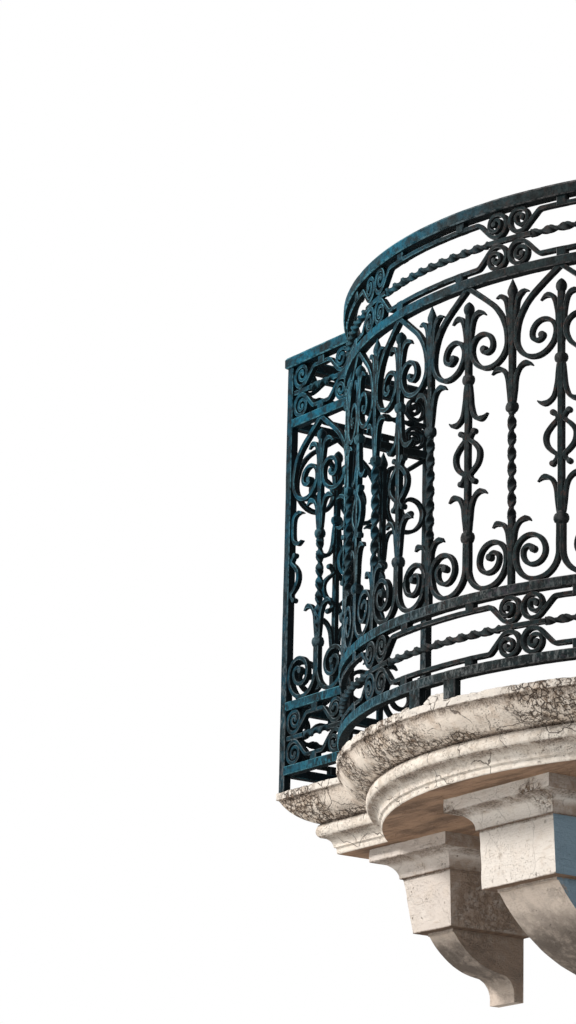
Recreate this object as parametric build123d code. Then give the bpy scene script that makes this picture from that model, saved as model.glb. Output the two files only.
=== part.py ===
from build123d import *
import os
from math import acos, atan2, cos, degrees, pi, radians, sin, sqrt

# A bowed iron balcony on a moulded stone slab with three corbels. Millimetres, +Z up.
# The wall face is y = 0 and -Y is the front. Heights here count from the top of the slab.
# On saving, all is raised so that the origin is at the middle of the back of the slab.

# Plan, measured on the centre line of the railing
corner_half_width = 631.0
bow_rise = 253.0
wing_length = 236.0
return_length = 385.0
wall_post_setback = 10.0
bow_bays = 6

# Posts, bars and rails
post_width = 20.0
bar_width = 13.0
mid_bar = 12.0
scroll_bar = 9.0
frieze_bar = 8.0
scroll_tip = 5.5
scroll_depth = 12.0
arm_bar = 8.0
arm_tip = 3.0
rail_height = 20.0
rail_depth = 22.0
handrail_height = 26.0
handrail_depth = 30.0
clearance = 0.3

# Heights from the top of the slab
bottom_rail_z = 36.0
lower_frieze_height = 126.0
panel_height = 642.0
upper_frieze_height = 126.0
frieze_block_width = 20.0
frieze_block_height = 11.0
frieze_block_reach = 129.0
upper_frieze_shift = -10.0
lower_frieze_shift = 26.0
foot_width = 34.0
foot_depth = 20.0
foot_spacing = 110.0
foot_shift = 35.0

# Scroll panel, heights above the rail that it stands on as shares of the panel
arch_eye_share = 0.793
arch_radius_share = 0.84
split_share = 0.168
low_collar_share = 0.185
low_arm_share = 0.240
lozenge_share = 0.447
down_arm_share = 0.657
collar_share = 0.699
top_arm_share = 0.847
finial_share = 0.931
twist_low_arm_share = 0.148
twist_collar_share = 0.573
twist_mid_arm_share = 0.598
twist_top_arm_share = 0.855
spear_share = 0.947

# Forged pieces on the bars
collar_width = 24.0
collar_height = 19.0
collar_depth = 20.0
low_collar_width = 28.0
finial_width = 22.0
spear_width = 18.0
spear_length = 26.0
arm_reach = 52.0
short_arm_reach = 40.0
arm_rise = 52.0
lozenge_height = 78.0
lozenge_reach = 28.0
lozenge_ball = 11.0

# Slab and its mouldings, as drops below the top and as distances in from the top edge
slab_overhang = 14.0
fillet_drop = 15.0
slab_thickness = 72.0
slab_recess = 72.0
ring_drop = 100.0
ring_out = 8.0
bed_drop = 140.0
bed_fillet = 14.0
bed_recess = 98.0

# Corbels: projection from the wall to the front of the block, and the sizes of each part
cap_height = 66.0
cap_fillet = 28.0
cap_overhang = 53.0
cap_ledge = 5.0
side_corbel_inset = 310.0
side_block_width = 170.0
side_block_projection = 233.0
side_block_taper = 17.0
centre_block_width = 239.0
centre_block_projection = 426.0
centre_block_taper = 7.0
block_height = 119.0
bracket_inset = 24.0
bracket_setback = 26.0
side_bracket_height = 140.0
centre_bracket_height = 290.0
bracket_foot = 24.0
joint_gap = 7.0
belly_share = 0.70
belly_drop_share = 0.55
belly_sweep = -50.0
hollow_sweep = -78.0

# Places worked out from the sizes above
post_corner = post_width / sqrt(2)
bow_radius = (corner_half_width**2 + bow_rise**2) / (2 * bow_rise)
bow_half_angle = degrees(2 * atan2(bow_rise, corner_half_width))
half_bay_angle = bow_half_angle / bow_bays
half_bay = 2 * bow_radius * sin(radians(half_bay_angle / 2))
wing_half_bay = wing_length / 2
return_half_bay = return_length / 3
end_x = corner_half_width + wing_length
wing_y = -(return_length + wall_post_setback)
bow_y = wing_y - bow_rise
axis_y = bow_y + bow_radius
rail_4_top = bottom_rail_z + rail_height
rail_3_low = rail_4_top + lower_frieze_height
panel_z = rail_3_low + rail_height
rail_2_low = panel_z + panel_height
rail_2_top = rail_2_low + rail_height
handrail_low = rail_2_top + upper_frieze_height
handrail_top = handrail_low + handrail_height
side_corbel_x = end_x - side_corbel_inset
mitred_half = scroll_bar / 2 / cos(radians(22.5))
block_angle = degrees(2 * atan2(frieze_block_reach / 2, bow_radius))
finial_z = finial_share * panel_height
split_z = split_share * panel_height

written = []


def save(name, *solids):
    raised = [s.moved(Location((0, 0, slab_thickness / 2))) for s in solids]
    shape = raised[0] if len(raised) == 1 else Compound(children=raised)
    export_step(shape, "parts/" + name + ".step")
    written.append(name)


# Flat outlines in the XZ plane, extruded to both sides of it
def polygon(points):
    return Face(Wire.make_polygon([Vector(x, 0, z) for x, z in points], close=True))


def ribbon(points, width, tip=None):
    """A bar along a bent line, with mitred corners; its second half may thin to a tip."""
    left, right = [], []
    last = len(points) - 1
    tip = width if tip is None else tip
    for i, (x, z) in enumerate(points):
        ax, az = points[max(i - 1, 0)]
        bx, bz = points[min(i + 1, last)]
        before = atan2(z - az, x - ax) if i else atan2(bz - z, bx - x)
        after = atan2(bz - z, bx - x) if i < last else before
        turn = (after - before + pi) % (2 * pi) - pi
        normal = before + turn / 2 + pi / 2
        here = width + (tip - width) * max(0.0, 2 * i / last - 1)
        reach = here / 2 / cos(turn / 2)
        left.append((x + reach * cos(normal), z + reach * sin(normal)))
        right.append((x - reach * cos(normal), z - reach * sin(normal)))
    return polygon(left + right[::-1])


def arc(x, z, radius, start, end, steps):
    """Points on an arc, without its first point."""
    turns = [radians(start + (end - start) * (i + 1) / steps) for i in range(steps)]
    return [(x + radius * cos(a), z + radius * sin(a)) for a in turns]


def bent(start, end, sweep, steps):
    """Points on an arc between two points that turns through the sweep, without its first point."""
    (ax, az), (bx, bz) = start, end
    half = radians(sweep) / 2
    lead = 1 / (2 * sin(half))
    centre_x = (ax + bx) / 2 - (bz - az) * cos(half) * lead
    centre_z = (az + bz) / 2 + (bx - ax) * cos(half) * lead
    first = degrees(atan2(az - centre_z, ax - centre_x))
    radius = sqrt((ax - centre_x)**2 + (az - centre_z)**2)
    return arc(centre_x, centre_z, radius, first, first + sweep, steps)


def flipped(points):
    return [(-x, z) for x, z in points]


def plate(outlines, depth):
    """Joins flat outlines and gives them depth, centred on the XZ plane."""
    whole = outlines[0].fuse(*outlines[1:]) if len(outlines) > 1 else outlines[0]
    found = whole.faces()
    return [Solid.extrude(f, Vector(0, depth, 0)).moved(Location((0, -depth / 2, 0))) for f in found]


def block(width, depth, low, high, x=0.0, y=0.0):
    return Solid.make_box(width, depth, high - low).moved(Location((x - width / 2, y - depth / 2, low)))


def collar(width, z, height=collar_height, depth=collar_depth):
    """A forged collar, pinched at its upper and lower edge."""
    half, side = height / 2, width / 2
    outline = [(-0.7 * side, -half), (0.7 * side, -half), (side, 0), (0.7 * side, half), (-0.7 * side, half)]
    return plate([polygon([(x, z + up) for x, up in outline + [(-side, 0)]])], depth)[0]


def join(solids):
    whole = solids[0].fuse(*solids[1:]) if len(solids) > 1 else solids[0]
    return list(whole.solids())


def placed(solids, location):
    return [s.moved(location) for s in solids]


# Bent lines of the scroll panel. x runs outward from the bar that carries the scrolls.
def arch_scroll_line(bay, inner, outer):
    left = inner + mitred_half - 0.5
    right = bay - outer - clearance - mitred_half
    eye_z = arch_eye_share * panel_height
    radius = arch_radius_share * (panel_height - eye_z)
    start_x = inner + 0.8 * scroll_bar
    run_x, run_z = start_x - right + radius, panel_height - eye_z
    touch = degrees(atan2(run_z, run_x) - acos(radius / sqrt(run_x**2 + run_z**2)))
    big = (right - left) / 2
    small = 0.6 * big
    eye = 0.31 * big
    line = [(start_x, panel_height)]
    line.append((right - radius + radius * cos(radians(touch)), eye_z + radius * sin(radians(touch))))
    line += arc(right - radius, eye_z, radius, touch, 0, 2)
    line += arc(left + big, eye_z, big, 0, -180, 4)
    line += arc(left + small, eye_z, small, 180, 0, 3)
    line += arc(left + 2 * small - eye, eye_z, eye, 0, -180, 2)
    return line


def foot_scroll_line(bay, inner, outer):
    left = inner + mitred_half
    right = bay - outer - clearance - mitred_half
    big = (right - left) / 2
    middle = 0.7 * big
    small = 0.52 * big
    eye = 0.27 * big
    centre_z = big + clearance + mitred_half
    line = [(left, split_z), (left, centre_z)]
    line += arc(left + big, centre_z, big, 180, 360, 4)
    line += arc(right - middle, centre_z + 6, middle, 0, 180, 3)
    line += arc(right - 2 * middle + small, centre_z + 6, small, 180, 360, 2)
    line += arc(right - 2 * middle + 2 * small - eye, centre_z + 6, eye, 0, 150, 1)
    return line


def arm(root, rise, inner, reach=arm_reach):
    """A leaf arm that leaves the bar, swings out and droops; rise is negative for one that hangs."""
    line = [
        (inner - 1, root),
        (inner + 0.12 * reach, root + 0.5 * rise),
        (inner + 0.42 * reach, root + 0.97 * rise),
        (inner + 0.9 * reach, root + 0.86 * rise),
    ]
    return ribbon(line, arm_bar, arm_tip)


def lozenge_side(inner):
    """Half a lozenge beside the bar, curled out at both ends to a small ball."""
    top = lozenge_height / 2
    middle = lozenge_share * panel_height
    half = [(inner + 12, top + 14), (inner - 1, top), (inner + 0.75 * lozenge_reach, top * 0.5)]
    line = half + [(x, -z) for x, z in half[::-1]]
    line = [(x, middle + z) for x, z in line]
    ball = lozenge_ball / 2
    ends = [polygon([(x - ball, z), (x, z - ball), (x + ball, z), (x, z + ball)]) for x, z in (line[0], line[-1])]
    return [ribbon(line, arm_bar)] + ends


# One side of a scroll panel, from its carrying bar to the next bar
def panel_side(bay, inner, outer, shaft):
    below_rail = polygon([(0, 0), (bay, 0), (bay, panel_height), (0, panel_height)])
    outlines = [(ribbon(arch_scroll_line(bay, inner, outer), scroll_bar, scroll_tip) & below_rail).faces()[0]]
    foot_inner = inner if shaft == "post" else -0.5
    outlines.append(ribbon(foot_scroll_line(bay, foot_inner, outer), scroll_bar, scroll_tip))
    if shaft != "post":
        outlines.append(arm(low_arm_share * panel_height, arm_rise, inner))
        outlines.append(arm(top_arm_share * panel_height, 0.75 * arm_rise, inner, short_arm_reach))
    if shaft == "lozenge":
        outlines.append(arm(down_arm_share * panel_height, -1.1 * arm_rise, inner))
        outlines += lozenge_side(inner)
    if shaft == "twist":
        outlines.append(arm(twist_mid_arm_share * panel_height, 1.25 * arm_rise, inner))
    return outlines


def scroll_unit(bay, outer_left, outer_right, shaft, fold):
    """The carrying bar with scrolls to both sides, each side turned back by the fold angle."""
    solids = [block(bar_width, bar_width, split_z - 2, finial_z)]
    solids.append(collar(low_collar_width, low_collar_share * panel_height))
    share = collar_share if shaft == "lozenge" else twist_collar_share
    solids.append(collar(collar_width, share * panel_height))
    solids.append(collar(finial_width, finial_z, finial_width, finial_width))
    for side, outer in ((1, outer_right), (-1, outer_left)):
        outlines = panel_side(bay, bar_width / 2, outer, shaft)
        if side < 0:
            outlines = [f.mirror(Plane.YZ) for f in outlines]
        solids += placed(plate(outlines, scroll_depth), Rotation(0, 0, side * fold))
    return join(solids)


def twisted_bar():
    """The bar between two bays: spear, three pairs of arms, a collar and a square shaft."""
    spear_z = spear_share * panel_height
    half, side = bar_width / 2, spear_width / 2
    tip = (0, spear_z + spear_length)
    head = [(-half, spear_z - 6), (half, spear_z - 6), (side, spear_z + 2), tip, (-side, spear_z + 2)]
    outlines = [polygon(head)]
    sizes = (
        (twist_low_arm_share, 0.72 * arm_rise, arm_reach),
        (twist_mid_arm_share, 1.25 * arm_rise, arm_reach),
        (twist_top_arm_share, 1.0 * arm_rise, short_arm_reach),
    )
    for share, rise, reach in sizes:
        right = arm(share * panel_height, rise, half, reach)
        outlines += [right, right.mirror(Plane.YZ)]
    outlines.append(polygon([(-1, 0), (1, 0), (1, spear_z), (-1, spear_z)]))
    solids = plate(outlines, scroll_depth)
    solids.append(block(bar_width, bar_width, 0, spear_z - 3))
    solids.append(collar(collar_width, twist_collar_share * panel_height))
    return join(solids)


def half_unit(bay, outer):
    """Scrolls held by a post alone, without a carrying bar."""
    return plate(panel_side(bay, post_width / 2 + clearance + 0.5, outer, "post"), scroll_depth)


def post_lozenge():
    """Half a lozenge and a bracket on the side of a post."""
    edge = post_width / 2 + clearance
    keep = polygon([(edge, 0), (wing_half_bay, 0), (wing_half_bay, panel_height), (edge, panel_height)])
    whole = lozenge_side(post_width / 2)
    trimmed = (whole[0].fuse(*whole[1:]) & keep).faces()
    middle = down_arm_share * panel_height - 21
    stem = edge + arm_bar / 2
    half = [(edge + 38, 33), (edge + 14, 39), (stem, 19)]
    line = [(x, middle + z) for x, z in half + [(x, -z) for x, z in half[::-1]]]
    return plate(list(trimmed) + [ribbon(line, arm_bar)], scroll_depth)


# Friezes: pairs of scrolls on each bar, tied to the rail by a small block
def frieze_line(bay, start, height):
    outer = (height - mid_bar) / 4 - clearance
    radius = outer - frieze_bar / 2 / cos(radians(27.5))
    centre_x = start + clearance + outer
    centre_z = mid_bar / 2 + clearance + outer
    member = height / 2 - frieze_block_height - frieze_bar / 2
    touch = radians(-50)
    touch_x = centre_x + radius * cos(touch)
    touch_z = centre_z + radius * sin(touch)
    run = (member - touch_z) / cos(touch)
    line = [(bay + 0.8, member), (touch_x - run * sin(touch), member), (touch_x, touch_z)]
    shrink = 0.17 * radius
    second = 0.52 * radius
    eye = 0.27 * radius
    line += arc(centre_x, centre_z, radius, -50, -270, 4)
    line += arc(centre_x, centre_z + shrink, radius - shrink, 90, 0, 1)
    right = centre_x + radius - shrink
    line += arc(right - second, centre_z + shrink, second, 0, -180, 2)
    line += arc(right - 2 * second + eye, centre_z + shrink, eye, 180, 40, 1)
    return line


def frieze_block(up, height):
    low, high = sorted((up * (height / 2 - frieze_block_height - 1), up * height / 2))
    return block(frieze_block_width, scroll_depth + 4, low, high)


def frieze_scroll(reach, start, height, side, up):
    """One scroll of a cluster, as a flat outline seen from its block; the cluster lies to that side."""
    line = [(side * (reach - x), up * z) for x, z in frieze_line(reach, start, height)]
    return ribbon(line, frieze_bar, scroll_tip)


def frieze_end(start, height, side, up):
    """A scroll with its block on the bow, turned back so that the cluster stays on the bow."""
    flat = plate([frieze_scroll(frieze_block_reach, start, height, side, up)], scroll_depth)
    return join(placed(flat, Rotation(0, 0, side * block_angle / 2)) + [frieze_block(up, height)])


def frieze_run(length, start_left, start_right, height, up):
    """A straight run between two posts, with its middle at x = 0: a scroll at both ends."""
    reach = min(frieze_block_reach, length / 2)
    half = length / 2 - reach
    solids = []
    for side, start in ((1, start_right), (-1, start_left)):
        flat = plate([frieze_scroll(reach, start, height, side, up)], scroll_depth)
        solids += placed(flat + [frieze_block(up, height)], Location((side * half, 0, 0)))
    if half > 0:
        member = height / 2 - frieze_block_height - frieze_bar / 2
        low, high = sorted((up * member - frieze_bar / 2, up * member + frieze_bar / 2))
        solids.append(block(2 * half, scroll_depth, low, high))
    return join(solids)


# Where a panel stands: on the bow at an angle, on a wing or along a return
def on_bow(angle, z=0.0):
    x = bow_radius * sin(radians(angle))
    y = axis_y - bow_radius * cos(radians(angle))
    return Location((x, y, z), (0, 0, angle))


def on_wing(side, x, z=0.0):
    return Location((side * x, wing_y, z), (0, 0, 0))


def on_return(side, distance, z=0.0):
    """distance is measured back from the front post; the panel's x runs towards the wall."""
    return Location((side * end_x, wing_y + distance, z), (0, 0, 90))


def bow_bar(inner, outer, low, high, start=-bow_half_angle, end=bow_half_angle):
    """A bar that follows the bow between two angles."""
    section = Plane.XZ * Rectangle(outer - inner, high - low)
    section = section.moved(Location(((inner + outer) / 2, 0, (low + high) / 2)))
    turned = revolve(section, Axis.Z, end - start).moved(Location((0, 0, 0), (0, 0, start - 90)))
    return turned.moved(Location((0, axis_y, 0))).solid()


def between_posts(solid, low, high):
    """Cuts a bow bar back to the faces of the corner posts."""
    reach = 2 * corner_half_width - post_width
    inside = block(reach, 3 * bow_rise, low, high, y=wing_y - bow_rise)
    return (solid & inside).solids()[0]


def bow_side_of_mitre(low, high):
    """The region between the two mitres where the bow meets the wings."""
    lean = radians(bow_half_angle / 2)
    ends = []
    for side, reach in ((1, -2 * bow_rise), (1, bow_rise), (-1, bow_rise), (-1, -2 * bow_rise)):
        ends.append((side * (corner_half_width - reach * sin(lean)), wing_y + reach * cos(lean)))
    plan = Face(Wire.make_polygon([Vector(x, y, low) for x, y in ends], close=True))
    return Solid.extrude(plan, Vector(0, 0, high - low))


def build_handrail():
    """The handrail runs over the posts: the bow is mitred to the wings, the wings turn back to the wall."""
    half = handrail_depth / 2
    region = bow_side_of_mitre(handrail_low, handrail_top)
    bow = bow_bar(bow_radius - half, bow_radius + half, handrail_low, handrail_top)
    save("handrail_bow", (bow & region).solids()[0])
    for word, side in (("left", -1), ("right", 1)):
        start = corner_half_width - 2 * half
        wing = block(end_x + half - start, handrail_depth, handrail_low, handrail_top,
                     x=side * (start + end_x + half) / 2, y=wing_y)
        back = block(handrail_depth, -wing_y, handrail_low, handrail_top, x=side * end_x, y=wing_y / 2)
        save("handrail_" + word, ((wing - region) + back).solids()[0])


def rails_between_posts(lows):
    """Plain rails in each section, cut off at the posts."""
    half = rail_depth / 2
    gap = post_width / 2
    found = {"bow": [], "wing_left": [], "wing_right": [], "return_left": [], "return_right": []}
    for low in lows:
        high = low + rail_height
        found["bow"].append(between_posts(bow_bar(bow_radius - half, bow_radius + half, low, high), low, high))
        for word, side in (("left", -1), ("right", 1)):
            centre = corner_half_width + wing_half_bay
            wing = block(wing_length - 2 * gap, rail_depth, low, high, x=side * centre, y=wing_y)
            back = block(rail_depth, return_length - 2 * gap, low, high, x=side * end_x,
                         y=wing_y + return_length / 2)
            found["wing_" + word].append(wing)
            found["return_" + word].append((back - wing).solids()[0])
    return found


# Slab and mouldings
def tier(points):
    """A moulded tier over wings and bow. points are (in from the top edge, z), from top to bottom."""
    high, low = points[0][1], points[-1][1]
    half_width = end_x + slab_overhang
    front_y = slab_overhang - wing_y
    side = [(half_width - p, z) for p, z in points] + [(p - half_width, z) for p, z in points[::-1]]
    wings = moulded_block(points, side, front_y, 2 * half_width)
    outer = bow_radius + slab_overhang
    disc = revolve(polygon([(outer - p, z) for p, z in points] + [(0, low), (0, high)]), Axis.Z, 360)
    depth = bow_rise + slab_overhang + bed_recess
    reach = block(2 * half_width, depth, low, high, y=bow_y - slab_overhang + depth / 2)
    return (wings + (disc.moved(Location((0, axis_y, 0))) & reach)).solids()[0]


def moulded_block(points, side, front_y, width):
    """A block on the wall with a moulded front; side is its outline as seen from the front."""
    front = polygon([(p, z) for p, z in points] + [(front_y, points[-1][1]), (front_y, points[0][1])])
    run = Solid.extrude(front, Vector(0, width, 0)).moved(Location((0, -width / 2, 0)))
    run = run.moved(Location((0, -front_y, 0), (0, 0, 90)))
    cross = Solid.extrude(polygon(side), Vector(0, -front_y, 0))
    return (run & cross).solids()[0]


def quarter_round(start, drop, end, low, steps):
    """A rounded quarter moulding from (start, drop) in and down to (end, low)."""
    turns = [radians(90 * (i + 1) / steps) for i in range(steps)]
    return [(start + (end - start) * (1 - cos(a)), drop - (drop - low) * sin(a)) for a in turns]


def quarter_hollow(start, drop, end, low, steps):
    """A hollow quarter moulding from (start, drop) in and down to (end, low)."""
    turns = [radians(90 * (i + 1) / steps) for i in range(steps)]
    return [(start + (end - start) * sin(a), drop - (drop - low) * (1 - cos(a))) for a in turns]


def build_slab():
    points = [(0, 0), (0, -fillet_drop), (5, -fillet_drop)]
    points += quarter_round(5, -fillet_drop, slab_recess, -slab_thickness, 4)
    save("slab", tier(points))


def build_bed_moulding():
    ring_middle = (slab_thickness + ring_drop) / 2
    points = [(slab_recess - ring_out * 0.4, -slab_thickness)]
    points += [(slab_recess - ring_out, -ring_middle + 5), (slab_recess - ring_out, -ring_middle - 5)]
    points += [(slab_recess - ring_out * 0.4, -ring_drop), (slab_recess, -ring_drop)]
    points += quarter_hollow(slab_recess, -ring_drop, bed_recess - 4, -bed_drop + bed_fillet, 3)
    points += [(bed_recess, -bed_drop + bed_fillet), (bed_recess, -bed_drop)]
    save("bed_moulding", tier(points))


def build_corbel(word, x, width, projection, taper, bracket_height, side_taper):
    top = -bed_drop
    cap_low = top - cap_height
    block_low = cap_low - block_height
    # Cap: a fillet and a hollow on three sides
    points = [(0, top), (0, top - cap_fillet), (3, top - cap_fillet)]
    points += quarter_hollow(3, top - cap_fillet, cap_overhang - cap_ledge, cap_low, 4)
    half = width / 2 + cap_overhang
    side = [(half - p, z) for p, z in points] + [(p - half, z) for p, z in points[::-1]]
    cap = moulded_block(points, side, projection + cap_overhang, 2 * half)
    save("corbel_cap_" + word, cap.moved(Location((x, 0, 0))))
    # Block, battered towards its foot
    batter = [(0, cap_low), (taper, block_low)]
    half = width / 2
    foot_half = half - side_taper
    side = [(half, cap_low), (foot_half, block_low), (-foot_half, block_low), (-half, cap_low)]
    body = moulded_block(batter, side, projection, width)
    # Bracket: a belly that turns back to a thin foot against the wall
    deep = projection - taper - bracket_setback
    neck = block_low - joint_gap
    foot = block_low - bracket_height
    waist = (-deep * (1 - belly_share), neck - belly_drop_share * bracket_height)
    heel = (-bracket_foot, foot + 0.1 * bracket_height)
    outline = [(0, block_low + 1), (-deep - 4, block_low + 1), (-deep - 4, neck), (-deep, neck)]
    outline += bent((-deep, neck), waist, -belly_sweep, 6)
    outline += bent(waist, heel, hollow_sweep, 4)
    outline += [(-bracket_foot, foot), (0, foot)]
    width_low = 2 * foot_half - 2 * bracket_inset
    profile = Face(Wire.make_polygon([Vector(0, y, z) for y, z in outline], close=True))
    bracket = Solid.extrude(profile, Vector(width_low, 0, 0)).moved(Location((-width_low / 2, 0, 0)))
    whole = (body + bracket).solids()[0]
    save("corbel_" + word, whole.moved(Location((x, 0, 0))))


def build_posts():
    half = post_width / 2
    for name, x, y in (("wing", end_x, wing_y), ("corner", corner_half_width, wing_y), ("wall", end_x, -half)):
        pair = [block(post_width, post_width, 0, handrail_low, x=s * x, y=y) for s in (-1, 1)]
        save(name + "_posts", *pair)
    feet = []
    for i in range(2):
        angle = degrees((i * foot_spacing - foot_shift) / bow_radius)
        feet.append(block(foot_width, foot_depth, 0, bottom_rail_z).moved(on_bow(angle)))
    save("bow_feet", *feet)


def build_rails():
    for name, lows in (("upper_rail_", [rail_2_low]), ("lower_rails_", [rail_3_low, bottom_rail_z])):
        for section, solids in rails_between_posts(lows).items():
            save(name + section, *solids)


def build_bow_panels():
    fold = half_bay_angle / 2
    inner = bar_width / 2 * (cos(radians(fold)) + sin(radians(fold)))
    for k in range(bow_bays):
        angle = (2 * k + 1 - bow_bays) * half_bay_angle
        left = post_corner if k == 0 else inner
        right = post_corner if k == bow_bays - 1 else inner
        unit = scroll_unit(half_bay, left, right, "lozenge", fold)
        solids = placed(unit, on_bow(angle, panel_z))
        if k < bow_bays - 1:
            solids += placed(twisted_bar(), on_bow(angle + half_bay_angle, panel_z))
        save("bow_panel_" + str(k + 1), *solids)


def build_wing_panels():
    edge = post_width / 2
    for word, side in (("left", -1), ("right", 1)):
        middle = corner_half_width + wing_half_bay
        unit = scroll_unit(wing_half_bay, edge, edge, "twist", 0)
        solids = placed(unit, on_wing(side, middle, panel_z))
        near = post_lozenge()
        solids += placed(near, Location((side * corner_half_width, wing_y, panel_z), (0, 0, 0 if side > 0 else 180)))
        solids += placed(near, Location((side * end_x, wing_y, panel_z), (0, 0, 180 if side > 0 else 0)))
        save("wing_panel_" + word, *solids)


def build_return_panels():
    edge = post_width / 2
    inner = bar_width / 2
    for word, side in (("left", -1), ("right", 1)):
        unit = scroll_unit(return_half_bay, edge, inner, "lozenge", 0)
        solids = placed(unit, on_return(side, return_half_bay, panel_z))
        solids += placed(twisted_bar(), on_return(side, 2 * return_half_bay, panel_z))
        end = half_unit(return_half_bay, inner)
        turned = Location((side * end_x, wing_y + return_length, panel_z), (0, 0, -90))
        solids += placed(end, turned)
        save("return_panel_" + word, *solids)


def build_bow_friezes():
    """Clusters of four scrolls two half bays from the middle and at the corner posts."""
    bars, members = [], []
    levels = (
        ("upper", rail_2_top, upper_frieze_height, upper_frieze_shift),
        ("lower", rail_4_top, lower_frieze_height, lower_frieze_shift),
    )
    half = mid_bar / 2
    for level, low, height, shift in levels:
        middle = low + height / 2
        member = height / 2 - frieze_block_height - frieze_bar / 2
        turn = degrees(shift / bow_radius)
        places = [-bow_half_angle, turn - 2 * half_bay_angle, turn + 2 * half_bay_angle, bow_half_angle]
        solids = []
        for k in range(3):
            start = post_corner if k == 0 else clearance
            end = post_corner if k == 2 else clearance
            first = places[k] + block_angle
            last = places[k + 1] - block_angle
            gap = degrees((frieze_block_width / 2 + 2 * clearance) / bow_radius)
            for up in (1, -1):
                solids += placed(frieze_end(start, height, -1, up), on_bow(first, middle))
                solids += placed(frieze_end(end, height, 1, up), on_bow(last, middle))
                z = middle + up * member
                members.append(bow_bar(bow_radius - scroll_depth / 2, bow_radius + scroll_depth / 2,
                                       z - frieze_bar / 2, z + frieze_bar / 2, first + gap, last - gap))
        save(level + "_frieze_bow", *solids)
        bar = bow_bar(bow_radius - half, bow_radius + half, middle - half, middle + half)
        bars.append(between_posts(bar, middle - half, middle + half))
    save("frieze_bars_bow", *bars)
    save("frieze_members_bow", *members)


def build_friezes():
    edge = post_width / 2
    levels = (("upper", rail_2_top, upper_frieze_height), ("lower", rail_4_top, lower_frieze_height))
    half = mid_bar / 2
    for level, low, height in levels:
        middle = low + height / 2
        for word, side in (("left", -1), ("right", 1)):
            sections = (
                ("_frieze_wing_", wing_length, on_wing(side, corner_half_width + wing_length / 2, middle)),
                ("_frieze_return_", return_length, on_return(side, return_length / 2, middle)),
            )
            for name, length, place in sections:
                solids = [block(length - post_width, mid_bar, -half, half)]
                for up in (1, -1):
                    solids += frieze_run(length, edge, edge, height, up)
                save(level + name + word, *placed(solids, place))


os.makedirs("parts", exist_ok=True)
build_slab()
build_bed_moulding()
build_corbel("left", -side_corbel_x, side_block_width, side_block_projection, side_block_taper,
             side_bracket_height, side_block_taper)
build_corbel("right", side_corbel_x, side_block_width, side_block_projection, side_block_taper,
             side_bracket_height, side_block_taper)
build_corbel("centre", 0.0, centre_block_width, centre_block_projection, centre_block_taper,
             centre_bracket_height, 0.0)
build_posts()
build_handrail()
build_rails()
build_bow_panels()
build_wing_panels()
build_return_panels()
build_bow_friezes()
build_friezes()
print(len(written), "nodes written")
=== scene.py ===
from math import acos, atan2, cos, degrees, hypot, pi, radians, sin, sqrt, tan

import bmesh
import bpy
from mathutils import Matrix, Vector, noise


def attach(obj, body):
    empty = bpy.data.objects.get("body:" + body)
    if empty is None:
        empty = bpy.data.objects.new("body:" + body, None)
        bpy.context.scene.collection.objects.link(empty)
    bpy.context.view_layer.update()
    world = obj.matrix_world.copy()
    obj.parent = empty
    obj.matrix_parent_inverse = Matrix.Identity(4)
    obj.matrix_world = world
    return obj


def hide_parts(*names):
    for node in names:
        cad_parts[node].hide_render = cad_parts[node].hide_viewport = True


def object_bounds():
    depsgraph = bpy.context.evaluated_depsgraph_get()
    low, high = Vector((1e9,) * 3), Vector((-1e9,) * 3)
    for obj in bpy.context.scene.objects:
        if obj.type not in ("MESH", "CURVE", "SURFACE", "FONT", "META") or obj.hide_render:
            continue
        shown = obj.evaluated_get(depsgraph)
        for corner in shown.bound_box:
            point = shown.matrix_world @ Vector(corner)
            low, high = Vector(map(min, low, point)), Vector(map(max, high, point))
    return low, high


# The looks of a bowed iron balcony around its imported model.
# Lengths in this script are millimetres; heights count from the top of the slab.
# Piece.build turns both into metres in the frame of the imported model, where materials,
# lamps and camera work.

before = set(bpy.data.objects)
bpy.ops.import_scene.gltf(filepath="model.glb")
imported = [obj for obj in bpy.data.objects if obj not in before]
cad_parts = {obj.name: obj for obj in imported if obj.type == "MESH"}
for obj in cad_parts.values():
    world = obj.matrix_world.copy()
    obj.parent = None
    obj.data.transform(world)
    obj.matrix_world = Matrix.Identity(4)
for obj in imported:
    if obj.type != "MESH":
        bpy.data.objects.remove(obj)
cad_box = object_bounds()
scene = bpy.context.scene

# noise_vector takes its offsets from a random state, so the state is seeded to give each run the same iron
noise.seed_set(7)

# Plan, on the centre line of the railing
POST = 20.0
BAR = 13.0
CORNER = 631.0
BOW_RISE = 253.0
WING = 236.0
RETURN = 385.0
END_X = CORNER + WING
WING_Y = -(RETURN + POST / 2)
BOW_R = (CORNER ** 2 + BOW_RISE ** 2) / (2 * BOW_RISE)
AXIS_Y = WING_Y - BOW_RISE + BOW_R
BOW_S = BOW_R * 2 * atan2(BOW_RISE, CORNER)

# A bay lies between two bars. The bow has two of them to each panel.
BOW_PANELS = 6
BAY = BOW_S / BOW_PANELS
WING_BAY = WING / 2
RETURN_BAY = RETURN / 3

# Heights
SLAB_TOP = 36.0
RAIL = 20.0
RAIL_DEPTH = 22.0
RAIL_4 = 36.0
FRIEZE = 126.0
RAIL_3 = RAIL_4 + RAIL + FRIEZE
PANEL_Z = RAIL_3 + RAIL
PANEL = 642.0
RAIL_2 = PANEL_Z + PANEL
HANDRAIL_Z = RAIL_2 + RAIL + FRIEZE
HANDRAIL = 26.0


# Places: s runs along the railing, z up and d outward
def on_bow(s, z, d):
    a = s / BOW_R
    return ((BOW_R + d) * sin(a), AXIS_Y - (BOW_R + d) * cos(a), z)


def on_wing(side):
    return lambda s, z, d: (side * (CORNER + s), WING_Y - d, z)


def on_return(side):
    return lambda s, z, d: (side * (END_X + d), WING_Y + s, z)


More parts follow.
